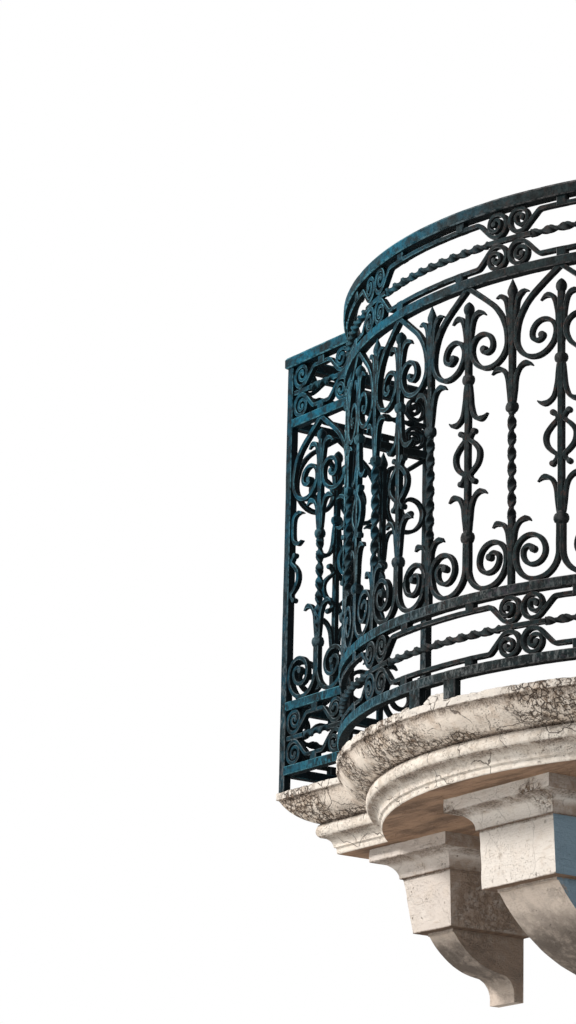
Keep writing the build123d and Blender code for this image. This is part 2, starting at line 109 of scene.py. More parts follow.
def on_post(side, x, y):
    return lambda s, z, d: (side * x + s, y - d, z)


# How much the paint is rubbed off, from 0 to 1. A bevelled bar has a flat side and an edge in turn.
FLAT_AND_EDGE = [0, 1]
END_WEAR = 0.3
TWIST_WEAR = 0.2
KNOB_WEAR = 0.25
BUTTON_WEAR = 0.35
COLLAR_WEAR = 0.4


def linked(name, data):
    thing = bpy.data.objects.new(name, data)
    scene.collection.objects.link(thing)
    return thing


class Piece:
    """Gathers the shells of one piece, with a wear value for each face."""

    def __init__(self, name, place=None):
        self.name = name
        self.place = place
        self.points = []
        self.faces = []
        self.wear = []

    def add(self, rings, faces, wear):
        base = len(self.points)
        self.points += [p for ring in rings for p in ring]
        self.faces += [[base + i for i in f] for f in faces]
        self.wear += wear

    def tube(self, rings, wear):
        """Joins closed rings into a tube with flat ends. wear has a value for each side."""
        count = len(rings[0])
        last = (len(rings) - 1) * count
        faces = []
        for i in range(0, last, count):
            for k in range(count):
                m = (k + 1) % count
                faces.append([i + k, i + m, i + count + m, i + count + k])
        faces.append(list(range(count))[::-1])
        faces.append([last + k for k in range(count)])
        self.add(rings, faces, wear * (len(rings) - 1) + [END_WEAR, END_WEAR])

    def stack(self, rings):
        """Joins plan lines from wall to wall into a body with a flat top, foot and back."""
        count = len(rings[0])
        starts = [i * count for i in range(len(rings))]
        last = starts[-1]
        faces = []
        for i in starts[:-1]:
            for k in range(count - 1):
                faces.append([i + k, i + k + 1, i + count + k + 1, i + count + k])
        faces.append(list(range(count)))
        faces.append([last + k for k in range(count)][::-1])
        faces.append(starts + [i + count - 1 for i in starts[::-1]])
        self.add(rings, faces, [0.0] * len(faces))

    def build(self, material, slot, *replaced, sharp=38.0, wobble=0.35):
        """Makes the mesh, hammered by wobble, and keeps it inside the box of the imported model."""
        mesh = bpy.data.meshes.new(self.name)
        shifted = []
        for point in self.points:
            p = Vector(point)
            if wobble:
                p += noise.noise_vector(p * 0.07) * wobble + noise.noise_vector(p * 0.012) * wobble * 1.6
            real = (p.x / 1000, p.y / 1000, (p.z + SLAB_TOP) / 1000)
            shifted.append([min(max(v, low), high) for v, low, high in zip(real, *cad_box)])
        mesh.from_pydata(shifted, [], self.faces)
        worn = mesh.attributes.new("worn", "FLOAT", "FACE")
        worn.data.foreach_set("value", self.wear)
        bm = bmesh.new()
        bm.from_mesh(mesh)
        bmesh.ops.recalc_face_normals(bm, faces=bm.faces)
        bm.to_mesh(mesh)
        bm.free()
        mesh.shade_smooth()
        mesh.set_sharp_from_angle(angle=radians(sharp))
        thing = linked(self.name, mesh)
        mesh.materials.append(material)
        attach(thing, "root")
        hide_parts(*replaced)


# Lines
def around(x, z, radius, start, turn, count):
    """count points on an arc of turn degrees, without its first point."""
    angles = [radians(start + turn * (i + 1) / count) for i in range(count)]
    return [(x + radius * cos(a), z + radius * sin(a)) for a in angles]


def arc(x, z, radius, start, end, step=6.0):
    """Points on an arc, about one step of length apart."""
    turn = end - start
    count = max(3, int(abs(radians(turn)) * radius / step + 0.5), int(abs(turn) / 20))
    return around(x, z, radius, start, turn, count)


def bent(start, end, turn, count):
    """Points on an arc of turn degrees between two points, without the first one."""
    (ax, az), (bx, bz) = start, end
    half = radians(turn) / 2
    lead = 1 / (2 * sin(half))
    x = (ax + bx) / 2 - (bz - az) * cos(half) * lead
    z = (az + bz) / 2 + (bx - ax) * cos(half) * lead
    return around(x, z, hypot(ax - x, az - z), degrees(atan2(az - z, ax - x)), turn, count)


def straight(start, end, step=14.0):
    """Points from start to end, without the first one."""
    (ax, az), (bx, bz) = start, end
    count = max(1, int(hypot(bx - ax, bz - az) / step))
    steps = range(1, count + 1)
    return [(ax + (bx - ax) * i / count, az + (bz - az) * i / count) for i in steps]


def even(start, end, count):
    """Numbers from start to end, in count equal steps."""
    return [start + (end - start) * i / count for i in range(count + 1)]


def through(p, q, r, s, t):
    """The value at share t of the way from q to r on a curve through four values."""
    first = (r - p) * t
    second = (2 * p - 5 * q + 4 * r - s) * t * t
    third = (3 * q - p - 3 * r + s) * t ** 3
    return 0.5 * (2 * q + first + second + third)


def smooth(points, step=4.0):
    """A curve through the points."""
    padded = [points[0]] + list(points) + [points[-1]]
    line = [points[0]]
    for four in zip(padded, padded[1:], padded[2:], padded[3:]):
        (bx, bz), (cx, cz) = four[1:3]
        count = max(2, int(hypot(cx - bx, cz - bz) / step))
        for n in range(1, count + 1):
            line.append(tuple(through(*values, n / count) for values in zip(*four)))
    return line


def lengths(line):
    run = [0.0]
    for (ax, az), (bx, bz) in zip(line, line[1:]):
        run.append(run[-1] + hypot(bx - ax, bz - az))
    return run


def graded(*stops):
    """A value that follows (share of length, value) stops."""
    def value(t):
        for (a, u), (b, v) in zip(stops, stops[1:]):
            if t <= b:
                return u + (v - u) * max(0.0, (t - a) / max(b - a, 1e-6))
        return stops[-1][1]
    return value


def heading(line, i, least=0.8):
    """The mean direction of a line at its point i, and the share that its bend leaves of a width."""
    x, z = line[i]
    ax, az = line[max(i - 1, 0)]
    bx, bz = line[min(i + 1, len(line) - 1)]
    ux, uz = x - ax, z - az
    vx, vz = bx - x, bz - z
    lu, lv = hypot(ux, uz) or 1.0, hypot(vx, vz) or 1.0
    tx, tz = ux / lu + vx / lv, uz / lu + vz / lv
    size = hypot(tx, tz) or 1.0
    tx, tz = tx / size, tz / size
    inside = 0 < i < len(line) - 1
    return tx, tz, max(least, (tx * vx + tz * vz) / lv) if inside else 1.0


def bevelled(w, d, b):
    """A rectangle of half sizes w and d, its corners cut by b."""
    half = [(w, -d + b), (w, d - b), (w - b, d), (-w + b, d)]
    return half + [(-p, -q) for p, q in half]


def sweep(piece, line, width, depth, at=(0.0, 0.0), side=1, bevel=1.5, twist=None):
    """A bar along a line in the railing. width lies in its plane, depth across it."""
    run = lengths(line)
    rings = []
    for i, (x, z) in enumerate(line):
        tx, tz, bend = heading(line, i)
        t = run[i] / run[-1]
        w = (width(t) if callable(width) else width) / 2
        d = (depth(t) if callable(depth) else depth) / 2
        turn = twist * t if twist else 0.0
        ring = []
        for p, q in bevelled(w, d, min(bevel, 0.6 * w, 0.6 * d)):
            p, q = p * cos(turn) - q * sin(turn), p * sin(turn) + q * cos(turn)
            p = p / bend
            ring.append(piece.place(at[0] + side * (x - p * tz), at[1] + z + p * tx, q))
        rings.append(ring)
    piece.tube(rings, [TWIST_WEAR] * 8 if twist else FLAT_AND_EDGE * 4)


def circle(sides):
    """Cosine and sine of evenly spaced directions."""
    return [(cos(2 * pi * k / sides), sin(2 * pi * k / sides)) for k in range(sides)]


def turned(piece, s, z, profile, sides=14, squash=1.0):
    """A turned or forged knob with its axis upright. profile is (radius, height)."""
    rings = []
    for radius, up in profile:
        rings.append([piece.place(s + radius * c, z + up, squash * radius * n) for c, n in circle(sides)])
    piece.tube(rings, [KNOB_WEAR] * sides)


BUTTON = ((0.45, -1.0), (0.86, -0.9), (1.0, -0.6), (1.0, 0.6), (0.86, 0.9), (0.45, 1.0))


def button(piece, s, z, radius, depth, sides=14):
    """A round knob with its axis across the railing, as at the end of a scroll."""
    rings = []
    for share, across in BUTTON:
        r = share * radius
        rings.append([piece.place(s + r * c, z + r * n, across * depth / 2) for c, n in circle(sides)])
    piece.tube(rings, [BUTTON_WEAR] * sides)


COLLAR_TOP = [(1.0, 0.12), (0.86, 0.36), (0.56, 0.5), (0.52, 0.62)]
COLLAR = [(share, -up) for share, up in COLLAR_TOP[::-1]] + COLLAR_TOP


def collar(piece, s, z, width=26.0, height=21.0):
    """A forged collar: a flattened ball with a pinch above and below."""
    rings = []
    for share, up in COLLAR:
        w = width / 2 * share
        rings.append([piece.place(s + p, z + up * height, 0.86 * q) for p, q in bevelled(w, w, 0.52 * w)])
    piece.tube(rings, [COLLAR_WEAR] * 8)


# Forged ornaments. x runs outward from the bar, z from the top of rail 3.
SCROLL = 9.0
SCROLL_DEPTH = 14.0
CLEARANCE = 0.3
EYE_BUTTON = 7.6


def arm(piece, points, at, side):
    """A leaf arm that lies along its bar, swings out and ends in a drooping point."""
    root, leaf, tip = 9.0, 10.6, 2.8
    width = graded((0, 3.5), (0.12, root * 0.8), (0.35, root), (0.66, root * 0.88), (0.85, leaf), (1.0, tip))
    depth = graded((0, 10.0), (0.6, 12.5), (0.88, 13.0), (1.0, 7.5))
    sweep(piece, smooth(points), width, depth, at, side)


def arch_scroll(piece, bay, outer, at, side, inner=BAR / 2):
    """An arch from the head of its bar or post, over the bay and down into a spiral."""
    left = inner + SCROLL / 2
    right = bay - outer - SCROLL / 2 - CLEARANCE
    spring = 509.0
    radius = 0.84 * (PANEL - spring)
    start = (2.0, PANEL + 1.0) if inner < POST / 2 else (inner + 7.2, PANEL - 4)
    run_x, run_z = start[0] - right + radius, start[1] - spring
    touch = degrees(atan2(run_z, run_x) - acos(radius / sqrt(run_x ** 2 + run_z ** 2)))
    big = (right - left) / 2
    small = 0.6 * big
    eye = 0.31 * big
    bend = (right - radius + radius * cos(radians(touch)), spring + radius * sin(radians(touch)))
    line = [start] + straight(start, bend)
    line += arc(right - radius, spring, radius, touch, 0, 10)
    line += arc(left + big, spring, big, 0, -180)
    line += arc(left + small, spring, small, 180, 0)
    line += arc(left + 2 * small - eye, spring, eye, 0, -150, 4)
    width = graded((0, 10.5), (0.3, 9.6), (0.8, 8.6), (1, 8.5))
    sweep(piece, line, width, SCROLL_DEPTH, at, side)
    x, z = line[-1]
    button(piece, at[0] + side * (x + 3.0), at[1] + z + 2.5, EYE_BUTTON, SCROLL_DEPTH + 2.5)


def foot_scroll(piece, bay, outer, at, side, inner=0.0):
    """A volute that leaves the split bar and rolls up on rail 3."""
    split = 118.0
    left = inner + SCROLL / 2
    right = bay - outer - SCROLL / 2 - CLEARANCE
    big = (right - left) / 2
    middle = 0.7 * big
    small = 0.52 * big
    eye = 0.27 * big
    low = big + 5.0
    high = low + 6
    line = [(left, split)] + straight((left, split), (left, low))
    line += arc(left + big, low, big, 180, 360)
    line += arc(right - middle, high, middle, 0, 180)
    line += arc(right - 2 * middle + small, high, small, 180, 360)
    line += arc(right - 2 * middle + 2 * small - eye, high, eye, 0, 130, 4)
    width = graded((0, 9.0), (0.2, 10.0), (0.75, 8.8), (1, 8.2))
    sweep(piece, line, width, SCROLL_DEPTH, at, side)
    x, z = line[-1]
    button(piece, at[0] + side * (x - 2.0), at[1] + z - 5.0, EYE_BUTTON, SCROLL_DEPTH + 2.5)


LOZENGE = [(17, 338), (9, 330), (7.5, 322), (20, 311), (31, 298), (34, 285), (30, 270), (19, 258)]
LOZENGE += [(8.5, 250), (9.5, 242), (18, 233)]


def lozenge(piece, at, side, inner=0.0):
    """Half a lozenge beside the bar, with a small ball at each end."""
    line = smooth([(x + inner, z) for x, z in LOZENGE])
    width = graded((0, 7.0), (0.2, 8.5), (0.5, 10.0), (0.8, 8.5), (1, 7.0))
    sweep(piece, line, width, 13.0, at, side)
    for x, z in ((18, 338), (19, 233)):
        button(piece, at[0] + side * (x + inner), at[1] + z, 6.2, SCROLL_DEPTH, 12)


TOP_ARM = [(5, 478), (6.5, 510), (8, 544), (15, 575), (25, 585), (36, 585), (47, 577)]
DOWN_ARM = [(5.5, 446), (7.5, 420), (9.5, 395), (17, 371), (30, 361), (43, 361), (54, 368)]
CALYX_ARM = [(5.5, 122), (8, 150), (11.5, 182), (20, 200), (32, 208), (42, 208), (53, 201)]
SPEAR_ARM = [(4, 500), (6.5, 540), (11, 575), (15, 594), (22, 603), (31, 607), (40, 604)]
MID_ARM = [(5.5, 370), (7.5, 400), (10, 425), (17, 443), (28, 452), (40, 452), (51, 445)]
LOW_ARM = [(4.5, 66), (6.5, 90), (10, 112), (19, 126), (30, 131), (39, 131), (47, 125)]
POST_ARM = [(50, 432), (38, 436), (26, 433), (17, 424), (15, 400), (17, 376), (26, 366), (38, 363), (50, 368)]

# Knobs as (radius, height) around their middle
FINIAL = [(6.2, -17), (5.6, -13), (7.4, -10), (10.2, -6), (11.6, 0), (11, 6), (8.4, 11), (4.6, 15)]
FINIAL += [(1.2, 17.5)]
SPEAR = [(6.4, -12), (9.4, -6), (11.6, 0), (11.2, 6), (8.6, 13), (5.4, 20), (2.6, 26), (0.8, 30)]

# Heights on the bars of a panel
CALYX_Z = PANEL_Z + 119
SHAFT_LOW = PANEL_Z + 137
SHAFT_HIGH = PANEL_Z + 359
FINIAL_Z = PANEL_Z + 598
SPEAR_Z = PANEL_Z + 608
LAP = 2


def bar(piece, s, low, high, width=BAR, bevel=1.6):
    line = [(0.0, low)] + straight((0.0, low), (0.0, high), 22)
    sweep(piece, line, width, width, (s, 0.0), bevel=bevel)


# Rings to each half turn of a twisted bar
TWIST_RINGS = 10


def twisted(piece, s, low, high):
    """A flat bar, twisted half a turn to each lobe."""
    lobes = 7
    line = [(0.0, z) for z in even(low, high, lobes * TWIST_RINGS)]
    sweep(piece, line, 17.5, 8.8, (s, 0.0), bevel=1.4, twist=pi * lobes)


def scroll_bar(piece, s, bay, outer_left, outer_right, twist=False):
    """The bar that carries arches above and volutes below, with its leaves."""
    low, high = CALYX_Z - 7, FINIAL_Z - 8
    if twist:
        bar(piece, s, low, SHAFT_LOW + LAP)
        bar(piece, s, SHAFT_HIGH - LAP, high)
        twisted(piece, s, SHAFT_LOW, SHAFT_HIGH)
        collar(piece, s, SHAFT_HIGH + 10)
    else:
        bar(piece, s, low, high)
        collar(piece, s, PANEL_Z + 449)
    collar(piece, s, CALYX_Z, 29.0, 23.0)
    turned(piece, s, FINIAL_Z, FINIAL)
    at = (s, PANEL_Z)
    for side, outer in ((1, outer_right), (-1, outer_left)):
        arch_scroll(piece, bay, outer, at, side)
        foot_scroll(piece, bay, outer, at, side)
        arm(piece, TOP_ARM, at, side)
        arm(piece, CALYX_ARM, at, side)
        arm(piece, MID_ARM if twist else DOWN_ARM, at, side)
        if not twist:
            lozenge(piece, at, side)


def spear_bar(piece, s):
    """The bar between two bays, with a spear, three pairs of leaves and a twisted shaft."""
    bar(piece, s, PANEL_Z, SHAFT_LOW + LAP)
    twisted(piece, s, SHAFT_LOW, SHAFT_HIGH)
    bar(piece, s, SHAFT_HIGH - LAP, SPEAR_Z - LAP)
    collar(piece, s, SHAFT_HIGH + 8)
    turned(piece, s, SPEAR_Z, SPEAR, 12, squash=0.8)
    for side in (1, -1):
        for points in (SPEAR_ARM, MID_ARM, LOW_ARM):
            arm(piece, points, (s, PANEL_Z), side)


def post_ornament(piece, s, side):
    """Half a lozenge and a bracket with leaf tips on the side of a post."""
    at = (s, PANEL_Z)
    lozenge(piece, at, side, inner=5.0)
    width = graded((0, 2.4), (0.12, 9), (0.3, 8.4), (0.7, 8.4), (0.88, 9), (1, 2.4))
    sweep(piece, smooth(POST_ARM), width, 12.5, at, side)


# Friezes. Scrolls start at blocks under the rails and meet four by four in clusters on the middle bar.
BLOCK_X = 129.0
BLOCK = 11.0
FRIEZE_BAR = 11.0
MEMBER = FRIEZE / 2 - BLOCK - 4.2
FRIEZE_LOBE = 36.0
PLAIN = 62.0


def frieze_scroll(start, reach):
    """From the block at x = reach in to the cluster at x = 0. start is where the scroll may begin."""
    gap = 0.2
    outer = (FRIEZE - FRIEZE_BAR) / 4 - 2 * gap
    radius = outer - 4.1
    cx = start + outer + gap
    cz = FRIEZE_BAR / 2 + outer + gap
    touch = -45
    tx, tz = cx + radius * cos(radians(touch)), cz + radius * sin(radians(touch))
    elbow = 13.0
    elbow_x = tx - (MEMBER - tz) * tan(radians(touch)) + elbow * tan(radians(90 + touch) / 2)
    line = [(reach, MEMBER)] + straight((reach, MEMBER), (elbow_x, MEMBER), 12)
    line += arc(elbow_x, MEMBER - elbow, elbow, 90, 180 + touch, 3)
    line += straight(line[-1], (tx, tz), 8)
    line += arc(cx, cz, radius, touch, -270, 4)
    shrink = 0.16 * radius
    line += arc(cx, cz + shrink, radius - shrink, 90, 0, 4)
    right = cx + radius - shrink
    second = 0.6 * radius
    line += arc(right - second, cz + shrink, second, 0, -180, 3.5)
    eye = 0.36 * radius
    line += arc(right - 2 * second + eye, cz + shrink, eye, 180, 30, 3)
    return line


def frieze_end(piece, block_s, direction, start, reach, middle, up):
    """One scroll of a cluster: direction points from its block to the cluster."""
    line = [(reach - x, up * z) for x, z in frieze_scroll(start, reach)]
    width = graded((0, 9.0), (0.5, 9.2), (0.85, 8.0), (1, 8.0))
    sweep(piece, line, width, SCROLL_DEPTH, (block_s, middle), direction)
    x, z = line[-1]
    button(piece, block_s + direction * x, middle + z - up * 3.6, 6.3, SCROLL_DEPTH + 1.5, 12)


def frieze_block(piece, s, middle, up):
    """A block between a rail and the scrolls that start at it."""
    low, high = sorted((middle + up * (MEMBER - 3), middle + up * (FRIEZE / 2)))
    line = [(0.0, low), (0.0, (low + high) / 2), (0.0, high)]
    sweep(piece, line, 2 * BLOCK, SCROLL_DEPTH + 4, (s, 0.0), bevel=2.2)


def frieze_bar(piece, start, end, middle, twist):
    """A stretch of the middle bar."""
    if twist:
        lobes = max(2, int(round((end - start) / FRIEZE_LOBE)))
        line = [(s, 0.0) for s in even(start, end, lobes * TWIST_RINGS)]
        sweep(piece, line, 17.0, 8.2, (0.0, middle), bevel=1.3, twist=pi * lobes)
    else:
        ends = (start - 1, 0.0), (end + 1, 0.0)
        line = [ends[0]] + straight(*ends, 12)
        sweep(piece, line, FRIEZE_BAR, 11.5, (0.0, middle), bevel=1.8)


def frieze(piece, clusters, low, high, middle, post=POST / 2):
    """clusters are the places where four scrolls meet; the first and last stand at posts."""
    first, last = clusters[0], clusters[-1]
    pairs = list(zip(clusters, clusters[1:]))
    for up in (1, -1):
        for a, b in pairs:
            reach = min(BLOCK_X, (b - a) / 2)
            left, right = a + reach, b - reach
            frieze_end(piece, left, -1, post if a == first else 0.0, reach, middle, up)
            frieze_end(piece, right, 1, post if b == last else 0.0, reach, middle, up)
            frieze_block(piece, left, middle, up)
            if right - left > 1:
                ends = (left - 3, up * MEMBER), (right + 3, up * MEMBER)
                line = [ends[0]] + straight(*ends, 16)
                sweep(piece, line, SCROLL, SCROLL_DEPTH, (0.0, middle))
                frieze_block(piece, right, middle, up)
    for a, b in pairs:
        one = PLAIN * (0.7 if a == first else 0.9)
        two = PLAIN * (0.7 if b == last else 0.9)
        if b - a < 2 * BLOCK_X:
            one = two = 0.3 * (b - a)
        frieze_bar(piece, low if a == first else a, a + one, middle, False)
        frieze_bar(piece, a + one, b - two, middle, True)
        frieze_bar(piece, b - two, high if b == last else b, middle, False)


class Nodes:
    """The nodes of a material or a world."""

    def __init__(self, owner):
        owner.use_nodes = True
        self.tree = owner.node_tree
        self.tree.nodes.clear()

    def add(self, kind, **inputs):
        n = self.tree.nodes.new(kind)
        for key, value in inputs.items():
            n.inputs[key].default_value = value
        return n

    def put(self, value, socket):
        """Links a value into a socket, or sets a constant or a colour there."""
        if isinstance(value, bpy.types.NodeSocket):
            self.tree.links.new(value, socket)
        else:
            socket.default_value = (*value, 1.0) if isinstance(value, tuple) else value

    def math(self, kind, *values):
        n = self.add("ShaderNodeMath")
        n.operation = kind
        for socket, v in zip(n.inputs, values):
            self.put(v, socket)
        return n.outputs[0]

    def times(self, a, b):
        return self.math("MULTIPLY", a, b)

    def most(self, a, b):
        return self.math("MAXIMUM", a, b)


class Shader(Nodes):
    """A small helper to wire up a procedural material."""

    def __init__(self, name):
        self.material = bpy.data.materials.new(name)
        super().__init__(self.material)
        self.bsdf = self.add("ShaderNodeBsdfPrincipled")
        self.put(self.bsdf.outputs[0], self.add("ShaderNodeOutputMaterial").inputs[0])
        self.coord = self.add("ShaderNodeTexCoord").outputs["Object"]
        self.normal = self.add("ShaderNodeNewGeometry").outputs["Normal"]

    def noise(self, scale, detail=4.0, rough=0.55, vector=None, stretch=None):
        n = self.add("ShaderNodeTexNoise", Scale=scale, Detail=detail, Roughness=rough)
        source = vector or self.coord
        if stretch:
            m = self.add("ShaderNodeMapping", Scale=stretch)
            self.put(source, m.inputs[0])
            source = m.outputs[0]
        self.put(source, n.inputs["Vector"])
        return n.outputs["Fac"]

    def cracks(self, scale, vector):
        """The distance to the nearest edge between cells."""
        n = self.add("ShaderNodeTexVoronoi", Scale=scale)
        n.feature = "DISTANCE_TO_EDGE"
        self.put(vector, n.inputs["Vector"])
        return n.outputs["Distance"]

    def ramp(self, value, low, high, to_low=0.0, to_high=1.0):
        n = self.add("ShaderNodeMapRange")
        n.interpolation_type = "SMOOTHSTEP"
        for socket, v in zip(n.inputs, (value, low, high, to_low, to_high)):
            self.put(v, socket)
        return n.outputs[0]

    def mix(self, a, b, share):
        """The colour a, replaced by the colour b where share is 1."""
        n = self.add("ShaderNodeMix")
        n.data_type = "RGBA"
        self.put(share, n.inputs[0])
        self.put(a, n.inputs[6])
        self.put(b, n.inputs[7])
        return n.outputs[2]

    def vector(self, kind, vector, constant):
        n = self.add("ShaderNodeVectorMath")
        n.operation = kind
        n.inputs[1].default_value = constant
        self.put(vector, n.inputs[0])
        return n

    def moved(self, by):
        """The place of a point, moved so that a noise differs from its like."""
        return self.vector("ADD", self.coord, by).outputs[0]

    def distance(self, to):
        return self.vector("DISTANCE", self.coord, to).outputs["Value"]

    def toward(self, direction):
        """How far a face looks in a direction, from -1 to 1."""
        return self.vector("DOT_PRODUCT", self.normal, Vector(direction).normalized()).outputs["Value"]

    def axis(self, which, vector=None):
        n = self.add("ShaderNodeSeparateXYZ")
        self.put(vector or self.coord, n.inputs[0])
        return n.outputs[which]

    def warped(self, scale, amount):
        """The place of a point, pushed about by a noise."""
        push = self.add("ShaderNodeTexNoise", Scale=scale, Detail=3.0)
        self.put(self.coord, push.inputs["Vector"])
        n = self.vector("MULTIPLY_ADD", push.outputs["Color"], (amount, amount, amount))
        self.put(self.coord, n.inputs[2])
        return n.outputs[0]

    def bump(self, height, distance, strength, before=None):
        n = self.add("ShaderNodeBump", Strength=strength, Distance=distance)
        self.put(height, n.inputs["Height"])
        if before:
            self.put(before, n.inputs["Normal"])
        return n.outputs[0]

    def finish(self, colour, rough, shine, bumps):
        """Wires up the surface and returns its material."""
        surface = self.bsdf.inputs
        self.put(colour, surface["Base Color"])
        self.put(rough, surface["Roughness"])
        surface["Specular IOR Level"].default_value = shine
        self.put(bumps, surface["Normal"])
        return self.material


# Iron. Colours are linear red, green and blue. Materials measure in metres from the model's origin.
DUSK_DARK = (0.0035, 0.0062, 0.0068)
DUSK_PALE = (0.0095, 0.0185, 0.0205)
# Rust colour, also used as a painted warm reflection
RUST_AND_WARM_REFLECTION = (0.052, 0.026, 0.021)
DUST = (0.085, 0.094, 0.096)
# Pinkish undercoat colour, also used as a painted warm highlight
PINKISH_UNDERCOAT_AND_WARM_HIGHLIGHT = (0.048, 0.038, 0.05)
CHIPPED = (0.003, 0.006, 0.008)
# Colours of rubbed edges, which also carry a painted highlight
RUBBED_AND_HIGHLIT_GREY = (0.135, 0.132, 0.135)
RUBBED_AND_HIGHLIT_BLUE = (0.085, 0.23, 0.29)
SHADED = (0.0022, 0.0036, 0.0042)


def iron_material(name, patchy, vivid):
    """Dark blue-green paint: vivid on the left, near black on the right, worn pale on edges, with light and
    shade put into the colour.
    """
    m = Shader(name)
    worn = m.add("ShaderNodeAttribute")
    worn.attribute_name = "worn"
    high = m.axis(2)
    # The paint is bluer and brighter to the left, partly its own colour and partly painted light from the
    # left, and darker toward the wall as painted shade
    left = m.ramp(m.math("ADD", m.axis(0), m.times(high, -0.18)), 0.1, -0.42)
    left = m.times(left, m.ramp(m.axis(1), -0.02, -0.3, 0.3, 1.0))
    pale_blue = left
    if vivid < 0.6:
        pale_blue = m.times(left, m.ramp(high, 0.15, 0.7, 0.22, 1.0))
    broad = m.noise(9.0, 3.0)
    patch = m.noise(42.0, 6.0, 0.68)
    other = m.noise(58.0, 6.0, 0.72, m.moved((3.0, 1.0, 7.0)))
    speck = m.noise(260.0, 4.0, 0.65)
    fine = m.noise(900.0, 3.0, 0.6)

    # Paint in two moods, the brighter one partly painted light, and rust through it
    deep_teal = (0.002, 0.02 * vivid, 0.03 * vivid)
    bright_teal = (0.002, 0.092 * vivid, 0.15 * vivid)
    teal = m.mix(deep_teal, bright_teal, m.ramp(patch, 0.38, 0.6))
    dusk = m.mix(DUSK_DARK, DUSK_PALE, m.ramp(patch, 0.4, 0.64))
    strong = m.times(m.ramp(broad, 0.38, 0.6, 0.12, 1.0), m.ramp(high, 0.05, 0.55, 0.55, 1.0))
    base = m.mix(dusk, teal, m.times(strong, left))
    # Rust patches, more to the right; on the scrolls the extra share there also stands for a painted warm
    # reflection of a sunlit wall
    rust = m.times(m.ramp(other, 0.52, 0.6), m.ramp(speck, 0.4, 0.56))
    rust_and_warm_reflection_share = m.ramp(left, 0.0, 1.0, 0.3 if patchy else 0.6, 0.05)
    base = m.mix(base, RUST_AND_WARM_REFLECTION, m.times(rust, rust_and_warm_reflection_share))

    if patchy:
        # Dusty spots, traces of a pinkish undercoat that also serve as painted warm highlights, and small
        # chips
        dusty = m.mix(DUST, (0.014, 0.11 * vivid, 0.16 * vivid), pale_blue)
        strokes = m.noise(60.0, 6.0, 0.74, stretch=(2.2, 2.2, 0.7))
        spots = m.times(m.ramp(strokes, 0.5, 0.57), m.ramp(m.noise(14.0, 3.0), 0.36, 0.56, 0.25, 1.0))
        base = m.mix(base, dusty, m.times(spots, m.ramp(high, 0.95, 0.25, 0.12, 0.85)))
        pink_and_warm_highlight = m.noise(33.0, 5.0, 0.7, m.moved((5.0, 2.0, 2.0)))
        pink_and_warm_highlight = m.times(m.ramp(pink_and_warm_highlight, 0.58, 0.64), 0.45)
        pink_and_warm_highlight = m.times(pink_and_warm_highlight, m.ramp(left, 0.2, 1.0, 1.0, 1.2 - 1.08 * vivid))
        base = m.mix(base, PINKISH_UNDERCOAT_AND_WARM_HIGHLIGHT, m.times(pink_and_warm_highlight, m.ramp(high, 0.95, 0.25, 0.2, 1.0)))
        chips = m.times(m.ramp(speck, 0.63, 0.67), m.ramp(patch, 0.45, 0.6))
        base = m.mix(base, CHIPPED, m.times(chips, 0.9))

    # Painted shade: faces turned away from the key light are darkened toward near black. Edges are rubbed
    # pale, more on lit faces
    bare_and_highlit = m.mix(RUBBED_AND_HIGHLIT_GREY, RUBBED_AND_HIGHLIT_BLUE, pale_blue)
    facing_key_light = m.ramp(m.toward((-0.35, -0.9, 0.22)), 0.1, 0.72, 0.15, 1.0)
    base = m.mix(SHADED, base, facing_key_light)
    # Rubbed edges are real wear, made paler on faces toward the key light as a painted highlight
    rubbed_and_highlit = m.times(worn.outputs["Fac"], m.ramp(m.noise(48.0, 5.0, 0.75), 0.36, 0.62, 0.0, 0.85))
    base = m.mix(base, bare_and_highlit, m.times(rubbed_and_highlit, m.ramp(facing_key_light, 0.15, 0.7, 0.4, 1.0)))
    height = m.math("ADD", m.times(speck, 0.6), m.times(fine, 0.2))
    height = m.math("ADD", height, m.times(patch, 1.1))
    return m.finish(base, m.ramp(speck, 0.3, 0.7, 0.52, 0.78), 0.05, m.bump(height, 0.0013, 0.85))


# Stone under limewash
SLAB_CREAM = (0.7, 0.642, 0.574)
CORBEL_CREAM = (0.57, 0.515, 0.472)
CENTRE_CREAM = (0.64, 0.596, 0.55)
STAIN = (0.54, 0.46, 0.382)
PALE_GREY = (0.7, 0.662, 0.615)
STREAK = (0.43, 0.345, 0.275)
# Belly cream, partly painted bounce light
BELLY_CREAM_AND_BOUNCE_LIGHT = (0.8, 0.708, 0.618)
BELLY_STAIN = (0.53, 0.415, 0.322)
FILLET_GREY = (0.6, 0.56, 0.515)
OLDER_COAT = (0.42, 0.33, 0.25)
# Bare stone colour, also used as painted shadow under curling flakes
BARE_STONE_AND_FLAKE_SHADOW = (0.15, 0.1, 0.068)
# Grime colour, also used as painted shade in crevices and under ledges
GRIME_AND_SHADE = (0.215, 0.155, 0.115)
PIT = (0.06, 0.04, 0.03)
CRACK = (0.04, 0.027, 0.02)
# Soffit colours, darkened to stand partly for shade
SOFFIT_TAN_WITH_SHADE = (0.34, 0.215, 0.14)
SOFFIT_BROWN_WITH_SHADE = (0.165, 0.104, 0.07)
BRACKET_CREAM = (0.7, 0.59, 0.5)
BRACKET_GREY = (0.4, 0.345, 0.305)
# Soot colour, also used as painted shade on the brackets
SOOT_AND_SHADE = (0.088, 0.071, 0.059)
# Flank brown, partly dirt and partly painted shade
FLANK_DIRT_AND_SHADE_BROWN = (0.3, 0.222, 0.17)
FLANK_BLUE = (0.235, 0.345, 0.43)


